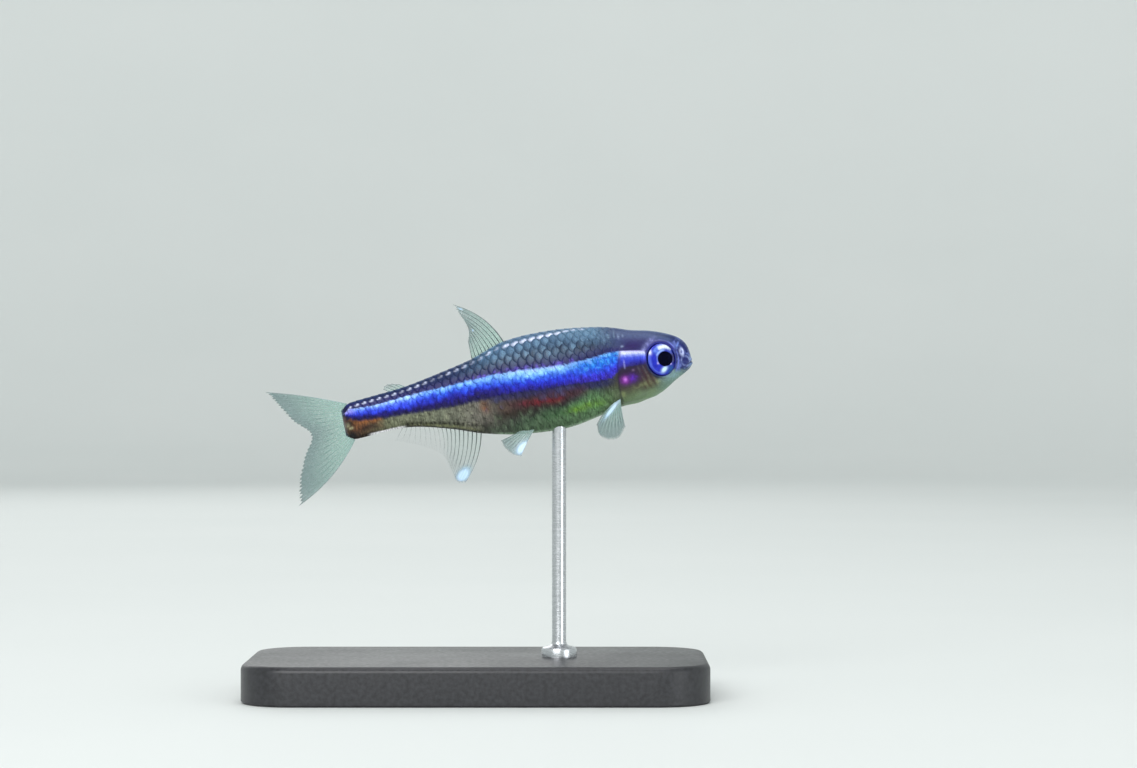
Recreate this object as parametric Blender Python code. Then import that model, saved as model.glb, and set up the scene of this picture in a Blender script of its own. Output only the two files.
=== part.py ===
"""Green neon tetra, life size, held in its swimming pose by a small display stand.

Metres, +Z up, head towards +X. The origin is the middle of the stand's underside.
The fish is drawn in its own frame: s runs from the tip of the snout to the tail, h upwards
and y to the fish's left. The empty "fish" then pitches it and lifts it onto its rod.
"""

import math

import bmesh
import bpy
from mathutils import Vector

MM = 0.001

# Driving dimensions of the fish
STANDARD_LENGTH = 20.0 * MM
PITCH = math.radians(11.2)
SNOUT_X = 12.1 * MM
SNOUT_Z = 19.1 * MM
TAIL_SWEEP = 0.9 * MM
HEAD_SWEEP = 0.2 * MM
STRAIGHT_AT = 8.0 * MM
GAP = 0.25 * MM
TAIL_ROOT_S = 19.75 * MM
WIDEST_LEVEL = 0.46
CHEEK_POWER = 0.8
KEEL_POWER = 1.1
KEEL_FULL_S = 6.0 * MM

# Distance from the snout, height of the back, depth of the belly and half width, in mm
STATIONS = (
    (0.0, 0.0, -0.06, 0.0),
    (0.1, 0.75, -0.45, 0.48),
    (0.45, 1.26, -0.72, 0.78),
    (1.1, 1.65, -1.06, 0.97),
    (2.1, 2.02, -1.62, 1.14),
    (3.2, 2.28, -1.88, 1.27),
    (4.3, 2.68, -1.98, 1.34),
    (5.4, 2.90, -2.20, 1.38),
    (7.6, 3.14, -2.57, 1.36),
    (10.2, 3.05, -2.42, 1.20),
    (12.3, 2.40, -1.98, 1.00),
    (14.1, 2.01, -1.36, 0.80),
    (16.4, 1.60, -0.80, 0.58),
    (18.2, 1.45, -0.80, 0.45),
    (19.6, 1.32, -0.87, 0.34),
    (20.0, 1.18, -0.76, 0.25),
)

# Seams between the lengths of the body
GILL_CENTRE = (-1.3 * MM, -0.9 * MM)
GILL_RADIUS = 5.65 * MM
TAIL_SEAM_S = 12.2 * MM
TAIL_SEAM_SLANT = 0.11

# Head
EYE_AT = (1.69 * MM, 0.22 * MM)
EYE_RADIUS = 0.87 * MM
EYE_SUNK_SIDE = 0.84 * MM
EYE_TURN = math.radians(13)
EYE_GAP = 0.15 * MM
MOUTH_FRONT = (0.0, -0.16 * MM)
MOUTH_CORNER = (0.6 * MM, -0.46 * MM)
MOUTH_OPEN = 0.15 * MM
LIP_RADIUS = 0.12 * MM
NOSTRIL_AT = (0.5 * MM, 0.46 * MM)
NOSTRIL_RADIUS = 0.09 * MM
# The cheek and the gill cover: an outline of (s, h) in mm, and how far the plate stands out
COVER_PLATES = (
    (((2.85, 0.9), (3.35, 1.3), (5.0, 1.4), (5.2, -1.6), (3.6, -1.6), (2.75, -1.35), (2.25, -0.9), (2.5, 0)), 0.05 * MM),
    (((3.15, 0.9), (3.5, 1.2), (5.0, 1.3), (5.2, -1.4), (3.9, -1.45), (3.35, -1.1), (3.05, -0.1)), 0.1 * MM),
)

# Fins
WEB_HALF = 0.25 * MM
RAY_HALF = 0.36 * MM
WEB_EDGE_HALF = 0.07 * MM
RAY_EDGE_HALF = 0.14 * MM

# Stand
BASE_LENGTH = 26.0 * MM
BASE_WIDTH = 14.0 * MM
BASE_HEIGHT = 2.2 * MM
BASE_CORNER = 3.0 * MM
BASE_CHAMFER = 0.35 * MM
STAND_GAP = 0.1 * MM
ROD_RADIUS = 0.4 * MM
ROD_FOOT_RADIUS = 1.0 * MM
ROD_FOOT_HEIGHT = 0.5 * MM
ROD_UNDER_S = 8.1 * MM

COLOURS = {
    "head": ((0.20, 0.24, 0.34), 0.35),
    "torso": ((0.16, 0.22, 0.42), 0.35),
    "tail": ((0.18, 0.20, 0.42), 0.35),
    "eye": ((0.05, 0.09, 0.45), 0.12),
    "fin": ((0.55, 0.66, 0.66), 0.4),
    "base": ((0.06, 0.06, 0.065), 0.45),
    "rod": ((0.62, 0.63, 0.65), 0.25),
}


def clear_scene():
    for obj in list(bpy.data.objects):
        bpy.data.objects.remove(obj)


def smooth_value(column, s):
    """A size of the body at s, from a cubic through the stations that is rounded at the snout."""
    root = math.sqrt(max(s / MM, 0.0))
    knots = [math.sqrt(row[0]) for row in STATIONS]
    values = [row[column] * MM for row in STATIONS]
    last = len(knots) - 1
    i = min(max(sum(knot <= root for knot in knots) - 1, 0), last - 1)

    def slope(k):
        low, high = max(k - 1, 0), min(k + 1, last)
        return (values[high] - values[low]) / (knots[high] - knots[low])

    step = knots[i + 1] - knots[i]
    t = min((root - knots[i]) / step, 1.0)
    return (
        values[i] * (1 + 2 * t) * (1 - t) ** 2
        + slope(i) * step * t * (1 - t) ** 2
        + values[i + 1] * (3 - 2 * t) * t**2
        - slope(i + 1) * step * (1 - t) * t**2
    )


def bend(s):
    """How far the spine lies to the fish's left at s."""
    if s > STRAIGHT_AT:
        return TAIL_SWEEP * ((s - STRAIGHT_AT) / (STANDARD_LENGTH - STRAIGHT_AT)) ** 2
    return HEAD_SWEEP * ((STRAIGHT_AT - s) / STRAIGHT_AT) ** 2


def place(s, h, y):
    """A point of the fish's frame, bent with its spine."""
    return Vector((-s, y + bend(s), h))


def lower_power(s):
    """How sharply the lower half of a section closes: full at the cheeks, and keeled at the belly."""
    return CHEEK_POWER + (KEEL_POWER - CHEEK_POWER) * min(s / KEEL_FULL_S, 1.0)


def section(s, grow=0.0):
    """(top, bottom, half width, widest level) of the body at s, grown outwards on every side."""
    top = smooth_value(1, s) + grow
    bottom = smooth_value(2, s) - grow
    return top, bottom, smooth_value(3, s) + grow, top + (bottom - top) * WIDEST_LEVEL


def surface_point(s, angle, grow=0.0):
    """The body's surface at s: angle 0 is the back, and a quarter turn is the fish's left flank."""
    top, bottom, half, middle = section(s, grow)
    up, out = math.cos(angle), math.sin(angle)
    if up >= 0:
        return place(s, middle + (top - middle) * up, half * out)
    return place(s, middle + (middle - bottom) * up, half * math.copysign(abs(out) ** lower_power(s), out))


def half_width_at(s, h, grow=0.0):
    """Half the body's width at s and height h, or 0 above its back and below its belly."""
    top, bottom, half, middle = section(s, grow)
    reach = (h - middle) / (top - middle) if h > middle else (middle - h) / (middle - bottom)
    power = 1.0 if h > middle else lower_power(s)
    return half * math.sqrt(max(1 - reach**2, 0.0)) ** power


def new_object(name, bm):
    """A named object from a bmesh, in triangles, with its faces pointing out."""
    bmesh.ops.remove_doubles(bm, verts=bm.verts, dist=1e-8)
    bmesh.ops.triangulate(bm, faces=bm.faces)
    bmesh.ops.recalc_face_normals(bm, faces=bm.faces)
    if bm.calc_volume(signed=True) < 0:
        bmesh.ops.reverse_faces(bm, faces=bm.faces)
    mesh = bpy.data.meshes.new(name)
    bm.to_mesh(mesh)
    bm.free()
    obj = bpy.data.objects.new(name, mesh)
    bpy.context.scene.collection.objects.link(obj)
    return obj


def bake(obj):
    """Applies an object's modifiers."""
    graph = bpy.context.evaluated_depsgraph_get()
    mesh = bpy.data.meshes.new_from_object(obj.evaluated_get(graph))
    obj.modifiers.clear()
    obj.data = mesh


def keep_largest(obj):
    """Drops every loose scrap of a mesh but its largest closed surface."""
    bm = bmesh.new()
    bm.from_mesh(obj.data)
    waiting, islands = set(bm.verts), []
    while waiting:
        island, edge = set(), [waiting.pop()]
        while edge:
            vert = edge.pop()
            island.add(vert)
            near = {e.other_vert(vert) for e in vert.link_edges} & waiting
            waiting -= near
            edge.extend(near)
        islands.append(island)
    islands.sort(key=len)
    bmesh.ops.delete(bm, geom=[v for island in islands[:-1] for v in island], context="VERTS")
    bm.to_mesh(obj.data)
    bm.free()


def cut(obj, cutters, operation="DIFFERENCE"):
    """Cuts an object by each cutter in turn, keeps its largest surface, and removes the cutters."""
    for cutter in cutters:
        modifier = obj.modifiers.new("cut", "BOOLEAN")
        modifier.operation = operation
        modifier.solver = "MANIFOLD"
        modifier.object = cutter
        bake(obj)
        bpy.data.objects.remove(cutter)
    keep_largest(obj)


def unite(obj, pieces):
    """Joins closed pieces to an object by one union on their collection."""
    group = bpy.data.collections.new(obj.name + "_pieces")
    bpy.context.scene.collection.children.link(group)
    for piece in pieces:
        bpy.context.scene.collection.objects.unlink(piece)
        group.objects.link(piece)
    modifier = obj.modifiers.new("join", "BOOLEAN")
    modifier.operation = "UNION"
    modifier.operand_type = "COLLECTION"
    modifier.collection = group
    bake(obj)
    for piece in pieces:
        bpy.data.objects.remove(piece)
    bpy.data.collections.remove(group)
    keep_largest(obj)


def loft(name, start, end, rings, segments, grow=0.0):
    """A closed length of the body from start to end, with rings closer together at the snout."""
    bm = bmesh.new()
    low, high = math.sqrt(start), math.sqrt(end + max(grow, 0.0))
    loops = []
    for i in range(rings + 1):
        s = (low + (high - low) * i / rings) ** 2
        loops.append([bm.verts.new(surface_point(s, math.tau * k / segments, grow)) for k in range(segments)])
    for near, far in zip(loops, loops[1:]):
        for k in range(segments):
            after = (k + 1) % segments
            bm.faces.new((near[k], near[after], far[after], far[k]))
    bm.faces.new(loops[0][::-1])
    bm.faces.new(loops[-1])
    return new_object(name, bm)


def grown_body(grow):
    """The whole body grown outwards, for cutting what meets it."""
    return loft("grown_body", 0.01 * MM, TAIL_ROOT_S, 60, 40, grow)


def prism(name, outline, low_y, high_y):
    """A closed prism across the fish over an outline of (s, h) points."""
    bm = bmesh.new()
    near = [bm.verts.new((-s, low_y, h)) for s, h in outline]
    far = [bm.verts.new((-s, high_y, h)) for s, h in outline]
    count = len(outline)
    for k in range(count):
        after = (k + 1) % count
        bm.faces.new((near[k], near[after], far[after], far[k]))
    bm.faces.new(near[::-1])
    bm.faces.new(far)
    return new_object(name, bm)


def gill_arc(radius, name="gill_arc"):
    """A cylinder across the fish, whose rear wall is the gill opening seen from the side."""
    sides = 72
    turns = [math.tau * k / sides for k in range(sides)]
    centre_s, centre_h = GILL_CENTRE
    outline = [(centre_s + radius * math.cos(a), centre_h + radius * math.sin(a)) for a in turns]
    return prism(name, outline, -4 * MM, 4 * MM)


def tail_seam(side):
    """A block in front of the tail's seam or behind it, that takes half the gap too."""
    reach, tall = 14 * MM, 5 * MM
    slant = TAIL_SEAM_SLANT * tall
    edge = TAIL_SEAM_S - side * GAP / 2
    outline = (
        (edge + slant, tall),
        (edge - slant, -tall),
        (edge - slant + side * reach, -tall),
        (edge + slant + side * reach, tall),
    )
    return prism("tail_seam", outline, -4 * MM, 6 * MM)


def rounded(outline, steps=4):
    """A closed outline in mm, rounded by a spline through its points."""
    points = [Vector(p) * MM for p in outline]
    count, made = len(points), []
    for i in range(count):
        a, b, c, d = (points[(i + k) % count] for k in (-1, 0, 1, 2))
        for step in range(steps):
            t = step / steps
            made.append(
                (2 * b + (c - a) * t + (2 * a - 5 * b + 4 * c - d) * t**2 + (3 * b - a - 3 * c + d) * t**3) / 2
            )
    return [tuple(p) for p in made]


def turned(name, profile, segments):
    """A closed solid turned about local Z from (radius, height) points that start and end on the axis."""
    bm = bmesh.new()
    first = bm.verts.new((0, 0, profile[0][1]))
    last = bm.verts.new((0, 0, profile[-1][1]))
    loops = []
    for radius, height in profile[1:-1]:
        turns = [math.tau * k / segments for k in range(segments)]
        loops.append([bm.verts.new((radius * math.cos(a), radius * math.sin(a), height)) for a in turns])
    for k in range(segments):
        after = (k + 1) % segments
        bm.faces.new((first, loops[0][k], loops[0][after]))
        bm.faces.new((last, loops[-1][after], loops[-1][k]))
        for low, high in zip(loops, loops[1:]):
            bm.faces.new((low[k], high[k], high[after], low[after]))
    return new_object(name, bm)


def tube(name, points, radii, sides=8):
    """A closed tube along points, with a radius at each of them."""
    bm = bmesh.new()
    loops = []
    for i, point in enumerate(points):
        along = (points[min(i + 1, len(points) - 1)] - points[max(i - 1, 0)]).normalized()
        across = along.cross(Vector((0, 0, 1))).normalized()
        over = across.cross(along)
        turns = [math.tau * k / sides for k in range(sides)]
        loops.append([bm.verts.new(point + (across * math.cos(a) + over * math.sin(a)) * radii[i]) for a in turns])
    for near, far in zip(loops, loops[1:]):
        for k in range(sides):
            after = (k + 1) % sides
            bm.faces.new((near[k], near[after], far[after], far[k]))
    bm.faces.new(loops[0][::-1])
    bm.faces.new(loops[-1])
    return new_object(name, bm)


def eye_axis(side):
    """The way an eye looks: sideways and a little forwards."""
    return Vector((math.sin(EYE_TURN), side * math.cos(EYE_TURN), 0))


def eye_profile(grow=0.0):
    """An eye's (radius, height) profile: a domed iris with the lens standing out of its middle."""
    r = EYE_RADIUS + grow
    back, front = 0.36 * MM + grow, 0.36 * MM + grow
    dome = [(r * math.sin(a), -back * math.cos(a)) for a in (math.radians(12 * k) for k in range(8))]
    iris = [(r * math.cos(a), front * math.sin(a)) for a in (math.radians(12 * k) for k in range(1, 5))]
    if grow:
        lens = [(r * math.cos(a), front * math.sin(a)) for a in (math.radians(12 * k) for k in range(5, 8))]
        return dome + iris + lens + [(0, front)]
    lens = [(0.46 * MM, front * 0.82), (0.42 * MM, front * 0.98), (0.28 * MM, front * 1.16), (0, front * 1.24)]
    return dome + iris + lens


def make_eye(name, side, grow=0.0):
    s, h = EYE_AT
    obj = turned(name, eye_profile(grow), 24)
    obj.data.transform(eye_axis(side).to_track_quat("Z", "Y").to_matrix().to_4x4())
    middle = place(s, h, side * EYE_SUNK_SIDE)
    for vert in obj.data.vertices:
        vert.co += middle
    return obj


def lip(name, rise):
    """A lip round the front of the snout, from corner to corner, a share of its radius off the mouth's line."""
    count = 8
    points, radii = [], []
    for i in range(-count, count + 1):
        share = abs(i) / count
        s = MOUTH_FRONT[0] + 0.03 * MM + (MOUTH_CORNER[0] - MOUTH_FRONT[0]) * share**2
        radius = LIP_RADIUS * (1 - 0.5 * share)
        h = MOUTH_FRONT[1] + (MOUTH_CORNER[1] - MOUTH_FRONT[1]) * share**2 + rise * radius
        side = math.copysign(half_width_at(s, h) - 0.3 * radius, i) if i else 0.0
        points.append(place(s, h, side))
        radii.append(radius)
    return tube(name, points, radii)


def mouth_slit():
    """A thin wedge along the line of the mouth, open in front of the snout."""
    half = MOUTH_OPEN / 2
    (front_s, front_h), (corner_s, corner_h) = MOUTH_FRONT, MOUTH_CORNER
    lead = 0.5 * MM
    rise = lead * (front_h - corner_h) / (corner_s - front_s)
    outline = (
        (front_s - lead, front_h + rise + half),
        (corner_s, corner_h),
        (front_s - lead, front_h + rise - half),
    )
    return prism("mouth_slit", outline, -2 * MM, 2 * MM)


def on_side(s, h, side):
    """(point, outward direction) of the flank at s and h."""
    reach = 0.02 * MM
    point = place(s, h, side * half_width_at(s, h))
    along = place(s + reach, h, side * half_width_at(s + reach, h)) - point
    up = place(s, h + reach, side * half_width_at(s, h + reach)) - point
    out = along.cross(up).normalized()
    return point, out if out.y * side > 0 else -out


def nostril_piece(name, side, radius, low, high):
    point, out = on_side(*NOSTRIL_AT, side)
    obj = turned(name, [(0, low), (radius, low), (radius, high), (0, high)], 10)
    obj.data.transform(out.to_track_quat("Z", "Y").to_matrix().to_4x4())
    for vert in obj.data.vertices:
        vert.co += point
    return obj


def orbit_rim(side):
    """The raised rim of bone round an eye."""
    rim_half, steps = 0.09 * MM, 28
    ring_radius = EYE_RADIUS + EYE_GAP + 0.02 * MM
    bm = bmesh.new()
    loops = []
    for i in range(steps):
        turn = math.tau * i / steps
        s = EYE_AT[0] + ring_radius * math.cos(turn)
        h = EYE_AT[1] + ring_radius * math.sin(turn)
        point, out = on_side(s, h, side)
        away = Vector((-math.cos(turn), 0, math.sin(turn)))
        away = (away - out * away.dot(out)).normalized()
        ring = [math.tau * k / 6 for k in range(6)]
        loops.append([bm.verts.new(point + (out * math.sin(a) + away * math.cos(a)) * rim_half) for a in ring])
    for i in range(steps):
        near, far = loops[i], loops[(i + 1) % steps]
        for k in range(6):
            after = (k + 1) % 6
            bm.faces.new((near[k], near[after], far[after], far[k]))
    return new_object("orbit_rim", bm)


def cover_plate(side, outline, rise):
    """A plate of the cheek or gill cover, raised off one side of the head."""
    plate = loft("cover_plate", 1.4 * MM, 6 * MM, 24, 40, rise)
    block = prism("cover_block", rounded(outline), *sorted((0.2 * side * MM, side * 4 * MM)))
    cut(plate, [block], "INTERSECT")
    return plate


def make_head():
    head = loft("head", 0.01 * MM, 6.0 * MM, 30, 40)
    sides = (-1, 1)
    plates = [cover_plate(side, outline, rise) for side in sides for outline, rise in COVER_PLATES]
    rims = [nostril_piece("nostril_rim", side, NOSTRIL_RADIUS * 1.7, -0.1 * MM, 0.05 * MM) for side in sides]
    lips = [lip("lip_upper", 0.55), lip("lip_lower", -0.55)]
    unite(head, plates + rims + lips + [orbit_rim(side) for side in sides])
    pits = [nostril_piece("nostril_pit", side, NOSTRIL_RADIUS, -0.12 * MM, 0.2 * MM) for side in sides]
    sockets = [make_eye("socket", side, EYE_GAP) for side in sides]
    cut(head, [mouth_slit()] + pits + sockets)
    cut(head, [gill_arc(GILL_RADIUS)], "INTERSECT")
    return head


def make_torso():
    torso = loft("torso", 2.8 * MM, 14 * MM, 26, 36)
    cut(torso, [gill_arc(GILL_RADIUS + GAP), tail_seam(1)])
    return torso


def make_tail():
    tail = loft("tail", 11 * MM, TAIL_ROOT_S, 18, 30)
    cut(tail, [tail_seam(-1)])
    return tail


def along_points(points, share):
    """A point on a smooth curve through points, at a share of the way."""
    spans = len(points) - 1
    i = min(int(share * spans), spans - 1)
    t = share * spans - i
    b, c = Vector(points[i]), Vector(points[i + 1])
    a = Vector(points[i - 1]) if i else 2 * b - c
    d = Vector(points[i + 2]) if i + 2 <= spans else 2 * c - b
    return (2 * b + (c - a) * t + (2 * a - 5 * b + 4 * c - d) * t**2 + (3 * b - a - 3 * c + d) * t**3) / 2


class Fin:
    """A fin's rays run from its root line to its margin, in mm; side and splay place a paired fin."""

    def __init__(self, root, margin, rays, rows, bow=(0.0, 0.0), side=0, root_y=0.0, splay=0.0, web=WEB_HALF):
        self.root, self.margin, self.rays, self.rows, self.bow = root, margin, rays, rows, bow
        self.side, self.root_y, self.splay, self.web = side, root_y, splay, web

    def flat_point(self, across, out):
        """(s, h) at a share of the way across the rays and out along them."""
        start, end = along_points(self.root, across), along_points(self.margin, across)
        chord = end - start
        bow = self.bow[0] + (self.bow[1] - self.bow[0]) * across
        middle = (start + end) / 2 + Vector((-chord.y, chord.x)) * bow
        point = start * (1 - out) ** 2 + middle * 2 * out * (1 - out) + end * out**2
        return point * MM

    def half_thickness(self, column, out):
        """Half the fin's thickness: rays stand above the web, and both thin towards the margin."""
        if column % 2 and self.rays > 2:
            root, edge = RAY_HALF, RAY_EDGE_HALF
        else:
            root, edge = self.web, WEB_EDGE_HALF
        return root + (edge - root) * out**1.3

    def grid_point(self, column, row, face):
        across, out = column / (2 * self.rays), row / self.rows
        point = self.flat_point(across, out)
        drop = max(self.root[0][1] * MM - point.y, 0.0)
        half = face * self.half_thickness(column, out)
        if not self.side:
            return place(point.x, point.y, half)
        level = math.tan(self.splay) * drop + self.root_y
        lean_out, lean_up = math.cos(self.splay) * half, math.sin(self.splay) * half
        return place(point.x, point.y + lean_up, self.side * (level + lean_out))

    def build(self, name):
        bm = bmesh.new()
        columns = range(2 * self.rays + 1)
        rows = range(self.rows + 1)
        faces = {face: [[bm.verts.new(self.grid_point(c, r, face)) for r in rows] for c in columns] for face in (-1, 1)}
        front, back = faces[1], faces[-1]

        def skin(a, b, c, d):
            bm.faces.new((a, b, c))
            bm.faces.new((a, c, d))

        for c in columns[:-1]:
            for r in rows[:-1]:
                for sheet in (front, back):
                    skin(sheet[c][r], sheet[c + 1][r], sheet[c + 1][r + 1], sheet[c][r + 1])
            for r in (0, self.rows):
                skin(front[c][r], front[c + 1][r], back[c + 1][r], back[c][r])
        for c in (0, 2 * self.rays):
            for r in rows[:-1]:
                skin(front[c][r], front[c][r + 1], back[c][r + 1], back[c][r])
        return new_object(name, bm)


def root_line(start, end, edge):
    """Points in mm one gap off the back (edge 1) or the belly (edge -1), from start to end."""
    steps = 6
    line = []
    for i in range(steps + 1):
        s = (start + (end - start) * i / steps) * MM
        top, bottom, _, _ = section(s, GAP)
        line.append((s / MM, (top if edge > 0 else bottom) / MM))
    return line


def make_median_fins():
    """The fins on the fish's middle line, each with its root one gap off the body."""
    root_s = (TAIL_ROOT_S + GAP) / MM
    shapes = {
        "dorsal_fin": Fin(
            root=root_line(10.3, 12.2, 1),
            margin=((12.65, 5.58), (12.48, 4.99), (12.26, 4.46), (12.16, 3.97), (12.3, 3.4)),
            rays=10, rows=6, bow=(0.24, 0.0),
        ),
        "adipose_fin": Fin(
            root=root_line(16.3, 16.95, 1),
            margin=((16.85, 2.08), (17.2, 2.24), (17.58, 2.14), (17.6, 1.86)),
            rays=2, rows=3, bow=(0.15, -0.1),
        ),
        "anal_fin": Fin(
            root=root_line(12.4, 16.6, -1),
            margin=((14.2, -4.42), (14.25, -3.5), (14.65, -2.65), (15.5, -2.05), (16.5, -1.65), (17.4, -1.35)),
            rays=15, rows=6, bow=(-0.22, -0.05),
        ),
        "tail_fin": Fin(
            root=((root_s, 1.24), (root_s, 0.85), (root_s, 0.2), (root_s, -0.45), (root_s, -0.84)),
            margin=(
                (24.19, 2.8), (23.65, 1.95), (22.95, 0.85), (22.1, -0.1),
                (22.75, -1.3), (23.35, -2.7), (23.58, -3.93),
            ),
            rays=16, rows=8, bow=(0.12, -0.13),
        ),
    }
    return [shape.build(name) for name, shape in shapes.items()]


def make_paired_fins():
    """The fins below the flanks. Each root is drawn inside the body, which then cuts it."""
    fins = []
    for name, side in (("right", -1), ("left", 1)):
        pectoral = Fin(
            root=((4.8, -1.5), (4.5, -1.35)),
            margin=((6.0, -2.7), (5.95, -3.3), (5.5, -3.62), (4.9, -3.6), (4.45, -3.1)),
            rays=8, rows=5, bow=(0.12, 0.06), side=side, root_y=0.75 * MM, splay=math.radians(32),
        ).build("pectoral_fin_" + name)
        pelvic = Fin(
            root=((9.45, -2.1), (9.95, -2.0)),
            margin=((10.7, -3.55), (11.1, -3.25), (11.45, -2.85), (11.6, -2.45)),
            rays=6, rows=4, bow=(0.1, -0.05), side=side, root_y=0.34 * MM, splay=math.radians(16),
        ).build("pelvic_fin_" + name)
        for fin in (pectoral, pelvic):
            cut(fin, [grown_body(GAP)])
            fins.append(fin)
    return fins


def to_world(point):
    """A point of the fish's frame where the stand's frame has it."""
    turn = math.cos(PITCH), math.sin(PITCH)
    return Vector(
        (SNOUT_X + point.x * turn[0] - point.z * turn[1], point.y, SNOUT_Z + point.x * turn[1] + point.z * turn[0])
    )


def pitch_up(objects, name="fish"):
    """Parents the fish's pieces to an empty that pitches it and lifts it to its place."""
    fish = bpy.data.objects.new(name, None)
    fish.location = (SNOUT_X, 0, SNOUT_Z)
    fish.rotation_euler = (0, -PITCH, 0)
    bpy.context.scene.collection.objects.link(fish)
    for obj in objects:
        obj.parent = fish
    return fish


def make_base():
    """A flat plate with round corners and a chamfered top edge."""
    bm = bmesh.new()
    loops = []
    for inset, height in ((0.0, 0.0), (0.0, BASE_HEIGHT - BASE_CHAMFER), (BASE_CHAMFER, BASE_HEIGHT)):
        radius = BASE_CORNER - inset
        loop = []
        for corner, (x, y) in enumerate(((1, 1), (-1, 1), (-1, -1), (1, -1))):
            centre = Vector((x * (BASE_LENGTH / 2 - BASE_CORNER), y * (BASE_WIDTH / 2 - BASE_CORNER), height))
            for step in range(6):
                turn = math.pi / 2 * (corner + step / 5)
                loop.append(bm.verts.new(centre + Vector((math.cos(turn), math.sin(turn), 0)) * radius))
        loops.append(loop)
    for low, high in zip(loops, loops[1:]):
        for k in range(len(low)):
            after = (k + 1) % len(low)
            bm.faces.new((low[k], low[after], high[after], high[k]))
    bm.faces.new(loops[0][::-1])
    bm.faces.new(loops[-1])
    return new_object("stand_base", bm)


def make_rod():
    """A rod with a round foot, up to the belly, whose top is cut to the belly's own curve."""
    belly = to_world(surface_point(ROD_UNDER_S, math.pi))
    foot = BASE_HEIGHT + STAND_GAP
    profile = [
        (0, foot), (ROD_FOOT_RADIUS, foot), (ROD_FOOT_RADIUS, foot + ROD_FOOT_HEIGHT),
        (ROD_RADIUS, foot + 1.4 * ROD_FOOT_HEIGHT), (ROD_RADIUS, belly.z + 1 * MM), (0, belly.z + 1 * MM),
    ]
    rod = turned("stand_rod", profile, 20)
    for vert in rod.data.vertices:
        vert.co.x += belly.x
    body = grown_body(STAND_GAP)
    for vert in body.data.vertices:
        vert.co = to_world(vert.co)
    cut(rod, [body])
    return rod


def finish(obj, kind):
    """Smooth shading and a plain finish."""
    colour, roughness = COLOURS[kind]
    material = bpy.data.materials.get(kind) or bpy.data.materials.new(kind)
    material.use_nodes = True
    shader = material.node_tree.nodes["Principled BSDF"]
    shader.inputs["Base Color"].default_value = (*colour, 1)
    shader.inputs["Roughness"].default_value = roughness
    shader.inputs["Metallic"].default_value = 1.0 if kind == "rod" else 0.0
    obj.data.materials.clear()
    obj.data.materials.append(material)
    obj.data.shade_smooth()
    obj.data.set_sharp_from_angle(angle=math.radians(35))


def main():
    clear_scene()
    eyes = [make_eye("eye_" + name, side) for name, side in (("right", -1), ("left", 1))]
    fins = make_median_fins() + make_paired_fins()
    body = [make_head(), make_torso(), make_tail()]
    base, rod = make_base(), make_rod()
    pitch_up(body + eyes + fins)
    for obj, kind in zip(body, ("head", "torso", "tail")):
        finish(obj, kind)
    for group, kind in ((eyes, "eye"), (fins, "fin"), ([base], "base"), ([rod], "rod")):
        for obj in group:
            finish(obj, kind)


main()
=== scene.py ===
"""The looks of the green neon tetra on its display stand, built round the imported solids.

The fish is drawn in its own frame, in millimetres: s runs back from the tip of the snout, h is
the height and y lies to the fish's left. world() pitches it and sets it on its stand, in metres.
"""

import math

import bpy
import numpy as np
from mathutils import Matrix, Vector

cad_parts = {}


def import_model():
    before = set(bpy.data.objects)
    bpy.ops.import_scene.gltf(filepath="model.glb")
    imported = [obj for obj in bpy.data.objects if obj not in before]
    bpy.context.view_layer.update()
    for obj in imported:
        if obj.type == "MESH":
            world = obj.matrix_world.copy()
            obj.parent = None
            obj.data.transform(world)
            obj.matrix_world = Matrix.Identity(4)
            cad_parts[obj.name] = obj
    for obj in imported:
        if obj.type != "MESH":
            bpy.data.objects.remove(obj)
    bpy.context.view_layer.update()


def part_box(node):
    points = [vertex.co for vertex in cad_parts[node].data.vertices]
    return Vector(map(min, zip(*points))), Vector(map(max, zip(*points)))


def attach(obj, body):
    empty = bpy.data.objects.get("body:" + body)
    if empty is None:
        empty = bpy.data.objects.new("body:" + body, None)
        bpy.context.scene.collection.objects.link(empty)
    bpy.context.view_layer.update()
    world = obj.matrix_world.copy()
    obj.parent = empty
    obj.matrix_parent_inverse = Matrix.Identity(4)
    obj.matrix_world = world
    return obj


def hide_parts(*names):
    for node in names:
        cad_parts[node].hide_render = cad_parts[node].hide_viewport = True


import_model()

MM = 0.001

# The fish's sizes, as in its solids
LENGTH = 20.0
PITCH = math.radians(11.2)
SNOUT_X = 12.1
SNOUT_Z = 19.1
TAIL_SWEEP = 0.9
HEAD_SWEEP = 0.2
STRAIGHT_AT = 8.0
WIDEST_LEVEL = 0.46
CHEEK_POWER = 0.8
KEEL_POWER = 1.1
KEEL_FULL_S = 6.0
GILL_CENTRE = (-1.3, -0.9)
GILL_RADIUS = 5.65
EYE_AT = (1.735, 0.25)
EYE_SUNK_SIDE = 0.84
EYE_TURN = math.radians(13)
EYE_NARROW = 0.88
EYEBALL_RADIUS = 0.9
PUPIL_RADIUS = 0.455
PUPIL_AHEAD = 0.19
CORNEA_RADIUS = 0.893
MOUTH_FRONT_H = -0.16
MOUTH_CORNER = (0.6, -0.46)
NOSTRIL_AT = (0.5, 0.46)
ROD_UNDER_S = 8.1

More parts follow.
